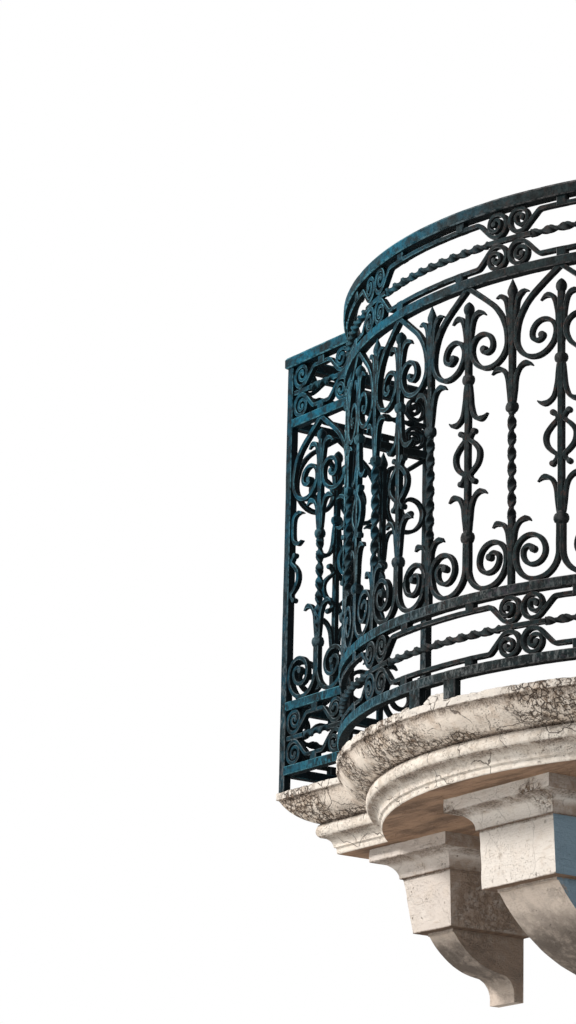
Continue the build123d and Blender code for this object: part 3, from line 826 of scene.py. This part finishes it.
def crevice_grime_and_shade(m, high, bands):
    """Grime, with shade put into the colour, along and beneath crevices and ledges, given as (height, reach
    of the darkening beneath it).
    """
    grime_and_shade = 0.0
    ragged_high = m.math("MULTIPLY_ADD", m.noise(38.0, 6.0, 0.75), 0.01, high)
    for z, reach in bands:
        off = m.math("ABSOLUTE", m.math("SUBTRACT", high, z))
        drop = m.math("SUBTRACT", z + 0.005, ragged_high)
        soft = m.times(m.ramp(drop, reach, 0.002, 0.0, 0.8), m.ramp(drop, -0.003, 0.001))
        grime_and_shade = m.most(grime_and_shade, m.most(m.ramp(off, 0.0034, 0.0008), soft))
    return m.times(grime_and_shade, m.ramp(m.noise(17.0, 6.0, 0.72), 0.34, 0.58, 0.3, 1.0))


def flaking_zone(m, zones, ragged):
    """Where the limewash peels: in the zones, given as (x, y, z, radius), and in patches elsewhere."""
    zone = m.ramp(m.noise(7.5, 4.0, 0.62), 0.6, 0.7, 0.0, 0.7)
    for x, y, z, radius in zones:
        zone = m.most(zone, m.ramp(m.distance((x, y, z)), radius * 1.15, radius * 0.6))
    return m.times(zone, m.ramp(ragged, 0.38, 0.5))


def stone_material(name, bands, zones, cream, soot_and_shade_heights=None, blue=False):
    """Old limewash: cream, grimy along its crevices, with shade put into the colour there and on undersides,
    peeling in flakes where the zones lie.

    Soot and shade put into the colour darken a corbel's bracket between four given heights, and it clears
    again below them.
    """
    corbel = soot_and_shade_heights is not None
    m = Shader(name)
    high = m.axis(2)
    wide = m.noise(5.0, 4.0, 0.6)
    mottle = m.noise(30.0, 7.0, 0.7)
    grain = m.noise(480.0, 4.0, 0.65)
    drag = m.noise(30.0, 6.0, 0.7, stretch=(0.5, 0.5, 3.6))
    ragged = m.noise(24.0, 6.0, 0.74)
    wash = m.mix(cream, STAIN, m.ramp(mottle, 0.46, 0.74, 0.0, 0.4 if corbel else 0.7))
    wash = m.mix(wash, PALE_GREY, m.ramp(m.noise(16.0, 5.0, 0.7), 0.5, 0.66, 0.0, 0.35))
    wash = m.mix(wash, STREAK, m.ramp(drag, 0.56, 0.72, 0.0, 0.6))
    if not corbel:
        # The ovolo band is a lighter cream, partly its own tone and partly painted bounce light from below
        belly = m.times(m.ramp(high, 0.0175, 0.0155), m.ramp(high, -0.037, -0.035))
        wash = m.mix(wash, BELLY_CREAM_AND_BOUNCE_LIGHT, m.times(belly, 0.75))
        wash = m.mix(wash, BELLY_STAIN, m.times(belly, m.ramp(mottle, 0.46, 0.66, 0.0, 0.55)))
        fillet = m.times(m.ramp(high, 0.017, 0.019), m.ramp(ragged, 0.4, 0.52, 0.3, 0.9))
        wash = m.mix(wash, FILLET_GREY, fillet)

    # Flakes, their torn edges and long hair cracks
    zone = flaking_zone(m, zones, ragged)
    if not corbel:
        rim = m.noise(10.0, 4.0, 0.65, m.moved((2.0, 4.0, 1.0)))
        rim = m.times(m.ramp(high, -0.016, -0.03), m.ramp(rim, 0.42, 0.56))
        zone = m.most(zone, m.times(rim, 0.75))
        zone = m.times(zone, m.ramp(high, -0.04, -0.034, 0.3, 1.0))
    crooked = m.warped(90.0, 0.008)
    torn = m.noise(85.0, 6.0, 0.76, crooked)
    flake_edge = m.times(m.ramp(m.cracks(80.0, crooked), 0.12, 0.02), m.ramp(torn, 0.4, 0.46))
    flake_edge = m.times(flake_edge, m.ramp(zone, 0.25, 0.75, 0.0, 0.55 if corbel else 1.0))
    hair = m.ramp(m.cracks(11.0, m.warped(22.0, 0.045)), 0.014, 0.003)
    hair = m.times(hair, m.ramp(m.noise(12.0, 4.0, 0.7), 0.45, 0.52))
    upward = m.toward((0.0, 0.0, 1.0))
    hair = m.times(hair, m.ramp(upward, 0.7, 0.9, 0.25 if corbel else 0.85, 0.35))
    crack = m.most(flake_edge, hair)
    # Patches where the limewash is lost show near black, partly bare stone and partly painted shadow under
    # curling flakes
    lost_and_flake_shadow = m.times(m.ramp(m.noise(64.0, 7.0, 0.76), 0.625, 0.645), m.ramp(wide, 0.4, 0.6, 0.2, 0.9))
    lost_and_flake_shadow = m.most(lost_and_flake_shadow, m.times(m.ramp(torn, 0.535, 0.55), zone))
    wash = m.mix(wash, OLDER_COAT, m.times(zone, m.ramp(mottle, 0.42, 0.6, 0.1, 0.6)))
    wash = m.mix(wash, BARE_STONE_AND_FLAKE_SHADOW, m.times(lost_and_flake_shadow, 0.88))

    # Grime with painted shade along crevices and under ledges, then pits and cracks
    grime_and_shade = crevice_grime_and_shade(m, high, bands)
    wash = m.mix(wash, GRIME_AND_SHADE, m.times(grime_and_shade, 0.8))
    pitted = m.ramp(m.noise(13.0, 5.0, 0.7), 0.46, 0.6, 0.1, 0.35 if corbel else 0.8)
    pits = m.times(m.ramp(m.noise(300.0, 3.0, 0.6), 0.585, 0.63), pitted)
    pits = m.most(pits, m.times(m.ramp(m.noise(240.0, 4.0, 0.6), 0.52, 0.58), grime_and_shade))
    wash = m.mix(wash, PIT, m.times(pits, 0.75))
    wash = m.mix(wash, CRACK, m.times(crack, 0.93))

    # Undersides in stain and painted shade, and on the corbels soot with painted shade and flanks partly in
    # painted shade
    soffit = -0.169 if corbel else -0.1
    shade = 0.55 if corbel else 1.0
    # Faces that look down, under the soffit, turn tan, partly stain and partly painted shade, darker still on
    # the corbels
    stain_and_shade_below = m.ramp(m.axis(2, m.normal), -0.72, -0.96)
    stain_and_shade_below = m.times(stain_and_shade_below, m.ramp(high, soffit + 0.002, soffit - 0.002))
    cloud = m.ramp(m.noise(9.0, 5.0, 0.7, stretch=(0.6, 2.4, 1.0)), 0.4, 0.64)
    under, under_dark = (tuple(shade * v for v in colour) for colour in (SOFFIT_TAN_WITH_SHADE, SOFFIT_BROWN_WITH_SHADE))
    wash = m.mix(wash, m.mix(under, under_dark, cloud), stain_and_shade_below)
    flank = m.axis(0, m.normal)
    if corbel:
        # Soot and painted shade: the bracket darkens downward between the given heights, where its belly
        # turns from the light
        soot_and_shade_share = m.times(m.ramp(high, soot_and_shade_heights[0], soot_and_shade_heights[1]), m.ramp(high, soot_and_shade_heights[3], soot_and_shade_heights[2], 0.25, 1.0))
        soot_and_shade_share = m.times(soot_and_shade_share, m.ramp(m.noise(20.0, 6.0, 0.74), 0.3, 0.56, 0.5, 1.0))
        bracket = m.ramp(high, -0.288, -0.3)
        wash = m.mix(wash, BRACKET_CREAM, m.times(bracket, 0.8))
        wash = m.mix(wash, BRACKET_GREY, m.times(bracket, m.ramp(ragged, 0.44, 0.64, 0.0, 0.5)))
        wash = m.mix(wash, SOOT_AND_SHADE, m.times(soot_and_shade_share, 0.9))
        # The right flanks of the corbels turn brown, partly dirt and partly painted shade on the side away
        # from the key light
        flank_dirt_and_shade = m.times(m.ramp(flank, 0.55, 0.92), m.ramp(mottle, 0.35, 0.6, 0.5, 0.9))
        wash = m.mix(wash, FLANK_DIRT_AND_SHADE_BROWN, flank_dirt_and_shade)
    if blue:
        # Blue-grey patches on the right flanks of the centre corbel, below its cap
        blue_flank_patches = m.times(m.ramp(flank, 0.75, 0.92), m.ramp(high, -0.168, -0.172))
        blue_flank_patches = m.times(blue_flank_patches, m.ramp(m.noise(9.0, 5.0, 0.7), 0.36, 0.42, 0.15, 0.95))
        wash = m.mix(wash, FLANK_BLUE, blue_flank_patches)

    coat = m.math("SUBTRACT", 1.0, m.most(pits, m.most(lost_and_flake_shadow, crack)))
    uneven = m.math("ADD", mottle, m.math("ADD", m.times(drag, 0.9), m.times(grain, 0.12)))
    rough = m.bump(uneven, 0.0042, 0.75)
    return m.finish(wash, m.ramp(mottle, 0.3, 0.7, 0.78, 0.95), 0.18, m.bump(coat, 0.0022, 1.0, rough))


iron = iron_material("aged_blue_iron_scrolls", False, 0.5)
iron_rails = iron_material("aged_blue_iron_rails", True, 0.88)
iron_posts = iron_material("aged_blue_iron_posts", True, 0.4)

SLAB_BANDS = ((0.017, 0.02), (-0.036, 0.006), (-0.0662, 0.01))
SLAB_FLAKING = (
    (-0.16, -0.6, -0.004, 0.13), (0.33, -0.56, 0.006, 0.14), (0.05, -0.57, -0.036, 0.06),
    (-0.8, -0.36, 0.0, 0.09), (-0.42, -0.52, -0.01, 0.08), (0.66, -0.38, -0.01, 0.1))
CORBEL_BANDS = ((-0.1325, 0.012), (-0.17, 0.006), (-0.2895, 0.022))
CORBEL_FLAKING = (
    (-0.16, -0.47, -0.15, 0.04), (0.11, -0.47, -0.15, 0.05),
    (-0.47, -0.12, -0.25, 0.1), (0.08, -0.4, -0.345, 0.045))
# Heights where the brackets darken with soot and painted shade
SIDE_SOOT_AND_SHADE = (-0.288, -0.325, -0.375, -0.405)
CENTRE_SOOT_AND_SHADE = (-0.3, -0.395, -0.8, -0.9)
stone = stone_material("peeling_limewash", SLAB_BANDS, SLAB_FLAKING, SLAB_CREAM)
corbel_stone = stone_material(
    "peeling_limewash_corbels", CORBEL_BANDS, CORBEL_FLAKING, CORBEL_CREAM, SIDE_SOOT_AND_SHADE)
blue_stone = stone_material(
    "peeling_limewash_blue_flank", CORBEL_BANDS, CORBEL_FLAKING, CENTRE_CREAM, CENTRE_SOOT_AND_SHADE, blue=True)


# Stone. p is how far a point lies in from the top edge of the slab.
LIP = 14.0
FILLET_LOW = -18.5
RING_IN = 71.5
RING_TOP = -72.0
RING_MIDDLE = -88.0
HOLLOW_IN = 72.0
HOLLOW_TOP = -103.0
SOFFIT = -140.0


def hollow(start, drop, end, low, count):
    """A hollow quarter moulding from (start, drop) to (end, low)."""
    angles = [radians(90 * (i + 1) / count) for i in range(count)]
    return [(start + (end - start) * sin(a), drop - (drop - low) * (1 - cos(a))) for a in angles]


def course_ring(p, z):
    """The plan line of the slab at p, as points from wall to wall."""
    side_x = END_X + LIP - p
    front_y = WING_Y - LIP + p
    radius = BOW_R + LIP - p
    meet = acos((AXIS_Y - front_y) / radius)
    join_x = radius * sin(meet)
    left = [(-side_x, y, z) for y in even(0.0, front_y, 42)[:-1]]
    left += [(x, front_y, z) for x in even(-side_x, -join_x, 26)[:-1]]
    bow = [(radius * sin(a), AXIS_Y - radius * cos(a), z) for a in even(-meet, meet, 190)]
    return left + bow + [(-x, y, z) for x, y, z in left[::-1]]


def weathered(point, inward, edge):
    """Moves a point of the stone a little: broad unevenness, and chips along an edge."""
    p = Vector(point)
    inward = Vector(inward).normalized() if p.y < -1 else Vector()
    rough = noise.noise(p * 0.011) * 0.9 + noise.noise(p * 0.045) * 0.55 + noise.noise(p * 0.16) * 0.3
    chip = max(0.0, noise.noise(p * 0.034 + Vector((7, 3, 1))) - 0.12) * 9.0
    chip += max(0.0, noise.noise(p * 0.11 + Vector((1, 9, 4))) - 0.15) * 4.0
    depth = 1.1 + rough * 0.9 + chip * edge
    if edge > 0.5:
        p.z -= edge * (0.85 * chip + 2.2 * max(0.0, noise.noise(p * 0.07 + Vector((3, 8, 2))) + 0.05))
    return tuple(p + inward * max(0.0, depth))


def carved(name, rings, replaced, material):
    """A body of stone between the wall and a pile of plan lines."""
    piece = Piece(name)
    piece.stack(rings)
    piece.build(material, "stone", replaced, sharp=32.0, wobble=0.0)


def course(name, profile, edges, replaced):
    """A moulded course. edges gives how much each profile point chips."""
    rings = []
    for (p, z), edge in zip(profile, edges):
        ring = course_ring(p, z)
        rings.append([weathered(here, (-0.9 * here[0], -120.0 - here[1], 0.0), edge) for here in ring])
    carved(name, rings, replaced, stone)


# The slab: an upright fillet with rounded arrises over a large moulding, a flat convex arc
profile = [(40, 0), (20, 0), (8, 0), (3, -0.4), (1, -1.5), (0, -3.5)]
profile += straight((0, -3.5), (0, FILLET_LOW + 2), 3.0) + [(1.0, FILLET_LOW + 0.5), (4.0, FILLET_LOW)]
profile += bent((5, FILLET_LOW), (RING_IN, RING_TOP), 50.0, 18)
chipping = [0.0, 0.3, 0.8, 1.0, 1.0, 1.0, 0.9, 0.9, 0.9, 0.8, 0.8, 0.5] + [0.25] * 18
course("slab_with_moulded_edge", profile, chipping, "slab")

# The bed moulding: a half-round ring, a hollow, a fillet and the soffit
profile = [(75, RING_TOP), (71, RING_TOP), (70.2, RING_TOP - 1.5), (66.5, RING_TOP - 4)]
angles = [radians(a) for a in range(30, 160, 12)]
profile += [(RING_IN - 7.4 * sin(a), RING_MIDDLE + 13 * cos(a)) for a in angles]
profile += [(70.5, HOLLOW_TOP + 1.5), (HOLLOW_IN, HOLLOW_TOP)]
profile += hollow(HOLLOW_IN, HOLLOW_TOP, 93, -125, 10)
profile += [(96, -126), (97.4, -127), (98, -129), (98, -134), (98.4, SOFFIT + 1.5)]
profile += [(p, SOFFIT) for p in (100, 112, 140, 200)]
course("bed_moulding_ring_and_hollow", profile, [0.15] * len(profile), "bed_moulding")

# Corbels, from their cap down to the heel of the bracket
CORBEL_X = 557.0
CAP = 66.0
CAP_FILLET = 26.0
BLOCK_HEIGHT = 119.0
OVERHANG = 53.0
BRACKET_IN = 24.0
BRACKET_BACK = 26.0


def box_ring(x, half, front, z, cells):
    """A plan line from wall to wall around three sides of a block."""
    side = even(0.0, -front, 16)[:-1]
    ring = [(x - half, y, z) for y in side]
    ring += [(across, -front, z) for across in even(x - half, x + half, cells)]
    return ring + [(x + half, y, z) for y in side[::-1]]


def block_piece(name, x, rows, replaced, material):
    """A corbel body whose rows are (half width, front, height)."""
    rings = []
    cells = 16 if rows[0][0] < 100 else 24
    for half, front, z in rows:
        ring = []
        for here in box_ring(x, half, front, z, cells):
            sideways = 0.9 if abs(here[0] - x) > half - 1 else 0.05
            inward = ((x - here[0]) * sideways, (-front / 2 - here[1]) * 0.6, 0.0)
            ring.append(weathered(here, inward, 0.3))
        rings.append(ring)
    carved(name, rings, replaced, material)


def corbel(word, x, width, projection, taper, side_taper, bracket, material):
    """A moulded cap, a block that tapers and a bracket with a belly over a hollow."""
    cap_low = SOFFIT - CAP
    block_low = cap_low - BLOCK_HEIGHT
    fillet = SOFFIT - CAP_FILLET
    profile = [(0, SOFFIT), (0, SOFFIT - 3)] + straight((0, SOFFIT - 3), (0, fillet), 6)
    profile += [(1.2, fillet - 2), (3, fillet - 2.4)]
    profile += hollow(3, fillet - 2.4, OVERHANG - 6, cap_low + 2, 14)
    profile += [(OVERHANG - 5.8, cap_low + 0.8), (OVERHANG - 4.6, cap_low), (OVERHANG - 1, cap_low)]
    half, front = width / 2 + OVERHANG, projection + OVERHANG
    rows = [(half - p, front - p, z) for p, z in profile]
    block_piece("corbel_cap_" + word + "_moulded", x, rows, "corbel_cap_" + word, material)

    shares = even(0.0, 1.0, 14)
    rows = [(width / 2 - side_taper * t, projection - taper * t, cap_low - BLOCK_HEIGHT * t) for t in shares]
    half = width / 2 - side_taper - BRACKET_IN
    deep = projection - taper - BRACKET_BACK
    neck = block_low - 7.0
    foot = block_low - bracket
    rows += [(half + 2, deep + 5, block_low - 0.5), (half, deep + 4, block_low - 1.5), (half, deep + 4, neck)]
    waist = (-deep * 0.3, neck - 0.55 * bracket)
    heel = (-24.0, foot + 0.1 * bracket)
    curve = bent((-deep, neck), waist, 50.0, 22) + bent(waist, heel, -78.0, 18)
    rows += [(half, -y, z) for y, z in [(-deep, neck - 0.3)] + curve]
    rows += [(half, 24.0, foot + 4), (half, 24.0, foot)]
    block_piece("corbel_" + word + "_block_and_bracket", x, rows, "corbel_" + word, material)


corbel("left", -CORBEL_X, 170.0, 233.0, 17.0, 17.0, 140.0, corbel_stone)
corbel("right", CORBEL_X, 170.0, 233.0, 17.0, 17.0, 140.0, corbel_stone)
corbel("centre", 0.0, 239.0, 426.0, 7.0, 0.0, 290.0, blue_stone)

# Posts
for word, x, y in (("corner", CORNER, WING_Y), ("wing", END_X, WING_Y), ("wall", END_X, -POST / 2)):
    piece = Piece("posts_" + word)
    for side in (-1, 1):
        piece.place = on_post(side, x, y)
        bar(piece, 0.0, 0.0, HANDRAIL_Z, POST, 1.8)
    piece.build(iron_posts, "iron", word + "_posts")

# Rails, as (name, place, start, end)
edge = POST / 2
bow_end = BOW_S - 11.0
sections = (
    ("bow", on_bow, -bow_end, bow_end),
    ("wing_left", on_wing(-1), edge, WING - edge),
    ("wing_right", on_wing(1), edge, WING - edge),
    ("return_left", on_return(-1), edge, RETURN - edge),
    ("return_right", on_return(1), edge, RETURN - edge),
)
for section, place, low, high in sections:
    piece = Piece("rails_" + section, place)
    for z in (RAIL_2, RAIL_3, RAIL_4):
        start = (low, z + RAIL / 2)
        line = [start] + straight(start, (high, z + RAIL / 2), 13)
        sweep(piece, line, RAIL, RAIL_DEPTH, bevel=2.0)
    piece.build(iron_rails, "iron", "upper_rail_" + section, "lower_rails_" + section)

# Feet of the rails
FOOT_WIDTH = 34.0
FOOT_DEPTH = 20.0
piece = Piece("feet_under_bow", on_bow)
line = [(0.0, z) for z in even(0.0, RAIL_4, 3)]
for s in (-35.0, 75.0):
    sweep(piece, line, FOOT_WIDTH, FOOT_DEPTH, (s, 0.0), bevel=2.5)
piece.build(iron_rails, "iron", "bow_feet")

# Lumps of old mortar beside the feet, as (middle, half length, half depth, height)
LUMPS = ((34.0, 43.0, 13.0, 17.0), (-72.0, 26.0, 9.0, 8.0), (-118.0, 14.0, 8.0, 6.0))
LUMP_ROWS = ((1.0, -0.15), (0.97, 0.2), (0.84, 0.52), (0.58, 0.8), (0.22, 1.0))
piece = Piece("mortar_lumps")
for middle, long, deep, tall in LUMPS:
    rings = []
    for share, up in LUMP_ROWS:
        ring = []
        for c, n in circle(40):
            ragged = 1 + 0.28 * noise.noise(Vector((2.2 * c, 2.2 * n, middle)))
            ragged += 0.2 * noise.noise(Vector((6 * c, 6 * n, up * 3)))
            bumpy = 1 + 0.35 * noise.noise(Vector((3 * share * c, 3 * share * n, middle)))
            reach = share * ragged
            ring.append(on_bow(middle + long * reach * c, tall * up * bumpy, deep * reach * n - 1))
        rings.append(ring)
    piece.tube(rings, [0.0] * 40)
piece.build(stone, "stone", "slab", wobble=1.0)

# Handrail: one band from wall to wall over the posts
WALL_GAP = 0.4
left = [(-END_X, -WALL_GAP)] + [(-END_X, y) for y in even(0.0, WING_Y, 24)[1:]]
left += [(x, WING_Y) for x in even(-END_X, -CORNER, 14)[1:-1]]
bow = [on_bow(s, 0.0, 0.0)[:2] for s in even(-BOW_S, BOW_S, 120)]
plan = left + bow + [(-x, y) for x, y in left[::-1]]
w, b, crown = 15.0, 2.6, 3.5
upright = HANDRAIL - 5
section = [(w, b), (w, upright), (w - crown, HANDRAIL), (-w + crown, HANDRAIL)]
section += [(-w, upright), (-w, b), (-w + b, 0), (w - b, 0)]
rings = []
for i, (x, y) in enumerate(plan):
    tx, ty, bend = heading(plan, i, 0.5)
    rings.append([(x + ty * q / bend, y - tx * q / bend, HANDRAIL_Z + up) for q, up in section])
piece = Piece("handrail")
piece.tube(rings, FLAT_AND_EDGE * 4)
piece.build(iron_rails, "iron", "handrail_bow", "handrail_left", "handrail_right")

# Main panels
post_corner = POST / sqrt(2)
for k in range(BOW_PANELS):
    piece = Piece("scrollwork_bow_" + str(k + 1), on_bow)
    s = (2 * k + 1 - BOW_PANELS) * BAY
    last = k == BOW_PANELS - 1
    outer_left = BAR / 2 if k else post_corner
    outer_right = post_corner if last else BAR / 2
    scroll_bar(piece, s, BAY, outer_left, outer_right)
    if not last:
        spear_bar(piece, s + BAY)
    piece.build(iron, "iron", "bow_panel_" + str(k + 1))

for word, side in (("left", -1), ("right", 1)):
    piece = Piece("scrollwork_wing_" + word, on_wing(side))
    scroll_bar(piece, WING_BAY, WING_BAY, edge, edge, twist=True)
    post_ornament(piece, 0.0, 1)
    post_ornament(piece, WING, -1)
    piece.build(iron, "iron", "wing_panel_" + word)
    piece = Piece("scrollwork_return_" + word, on_return(side))
    scroll_bar(piece, RETURN_BAY, RETURN_BAY, edge, BAR / 2)
    spear_bar(piece, 2 * RETURN_BAY)
    at = (RETURN, PANEL_Z)
    arch_scroll(piece, RETURN_BAY, BAR / 2, at, -1, inner=edge)
    foot_scroll(piece, RETURN_BAY, BAR / 2, at, -1, inner=edge)
    piece.build(iron, "iron", "return_panel_" + word)

# Friezes above and below, as (name, foot, how far their clusters stand off the bars)
levels = (("upper", RAIL_2 + RAIL, -10.0), ("lower", RAIL_4 + RAIL, 26.0))
for level, low_z, shift in levels:
    middle = low_z + FRIEZE / 2
    for section, place, low, high in sections:
        piece = Piece(level + "_frieze_scrolls_" + section, place)
        replaced = [level + "_frieze_" + section]
        if section == "bow":
            clusters = [-BOW_S, shift - 2 * BAY, shift + 2 * BAY, BOW_S]
            frieze(piece, clusters, low, high, middle, post_corner)
            replaced += ["frieze_bars_bow", "frieze_members_bow"]
        else:
            frieze(piece, [0.0, high + edge], low, high, middle)
        piece.build(iron, "iron", *replaced)


# Studio, in metres. The backdrop is white to the camera and lights the shadows a little.
AMBIENT = (0.93, 0.96, 1.0, 1.0)
AMBIENT_STRENGTH = 0.24
WHITE = (1.0, 1.0, 1.0, 1.0)
scene.world = bpy.data.worlds.new("studio")
sky = Nodes(scene.world)
path = sky.add("ShaderNodeLightPath").outputs
seen = sky.most(sky.most(path["Is Camera Ray"], path["Is Transmission Ray"]), path["Is Glossy Ray"])
mixer = sky.add("ShaderNodeMixShader")
sky.put(seen, mixer.inputs[0])
sky.put(sky.add("ShaderNodeBackground", Color=AMBIENT, Strength=AMBIENT_STRENGTH).outputs[0], mixer.inputs[1])
sky.put(sky.add("ShaderNodeBackground", Color=WHITE, Strength=1.0).outputs[0], mixer.inputs[2])
sky.put(mixer.outputs[0], sky.add("ShaderNodeOutputWorld").inputs[0])


def lamp(name, place, target, size, power, colour):
    data = bpy.data.lights.new(name, "AREA")
    data.shape = "DISK"
    data.size = size
    data.energy = power
    data.color = colour
    thing = linked(name, data)
    thing.location = place
    thing.rotation_euler = (Vector(target) - Vector(place)).to_track_quat("-Z", "Y").to_euler()


lamp("key", (-3.1, -5.0, 3.3), (0, -0.4, 0.3), 1.6, 572, (1.0, 0.965, 0.92))
lamp("fill", (4.5, -3.2, 0.6), (0, -0.4, 0.3), 3.0, 38, (0.9, 0.95, 1.0))
lamp("bounce", (0.2, -3.6, -1.7), (0, -0.3, 0.0), 2.6, 46, (1.0, 0.93, 0.85))

FLOOR = 14.0
FLOOR_Z = -1.85
floor_mesh = bpy.data.meshes.new("floor")
corners = [(x * FLOOR, y * FLOOR, FLOOR_Z) for x, y in ((-1, -1), (1, -1), (1, 1), (-1, 1))]
floor_mesh.from_pydata(corners, [], [(0, 1, 2, 3)])
floor = linked("floor", floor_mesh)
paint = bpy.data.materials.new("pale_floor")
paint.use_nodes = True
surface = paint.node_tree.nodes["Principled BSDF"].inputs
surface["Base Color"].default_value = (0.7, 0.7, 0.69, 1.0)
surface["Roughness"].default_value = 0.9
floor_mesh.materials.append(paint)

# Camera, fitted to the edges of posts, rails and slab in the photograph
PHOTO_HEIGHT = 1024
SENSOR = 36
FOCAL_PIXELS = 3602.8
EYE = (5.5867, -4.8063, -1.6369)
yaw, pitch, roll = radians(55.692), radians(16.537), radians(1.318)
forward = Vector((-sin(yaw) * cos(pitch), cos(yaw) * cos(pitch), sin(pitch)))
level_right = Vector((cos(yaw), sin(yaw), 0.0))
level_up = level_right.cross(forward)
right = cos(roll) * level_right + sin(roll) * level_up
up = -sin(roll) * level_right + cos(roll) * level_up
data = bpy.data.cameras.new("camera")
data.lens = FOCAL_PIXELS / PHOTO_HEIGHT * SENSOR
data.clip_end = 60
camera = linked("camera", data)
turn = Matrix((right, up, -forward)).transposed().to_4x4()
camera.matrix_world = Matrix.Translation(EYE) @ turn
scene.camera = camera
scene.view_settings.view_transform = "Standard"
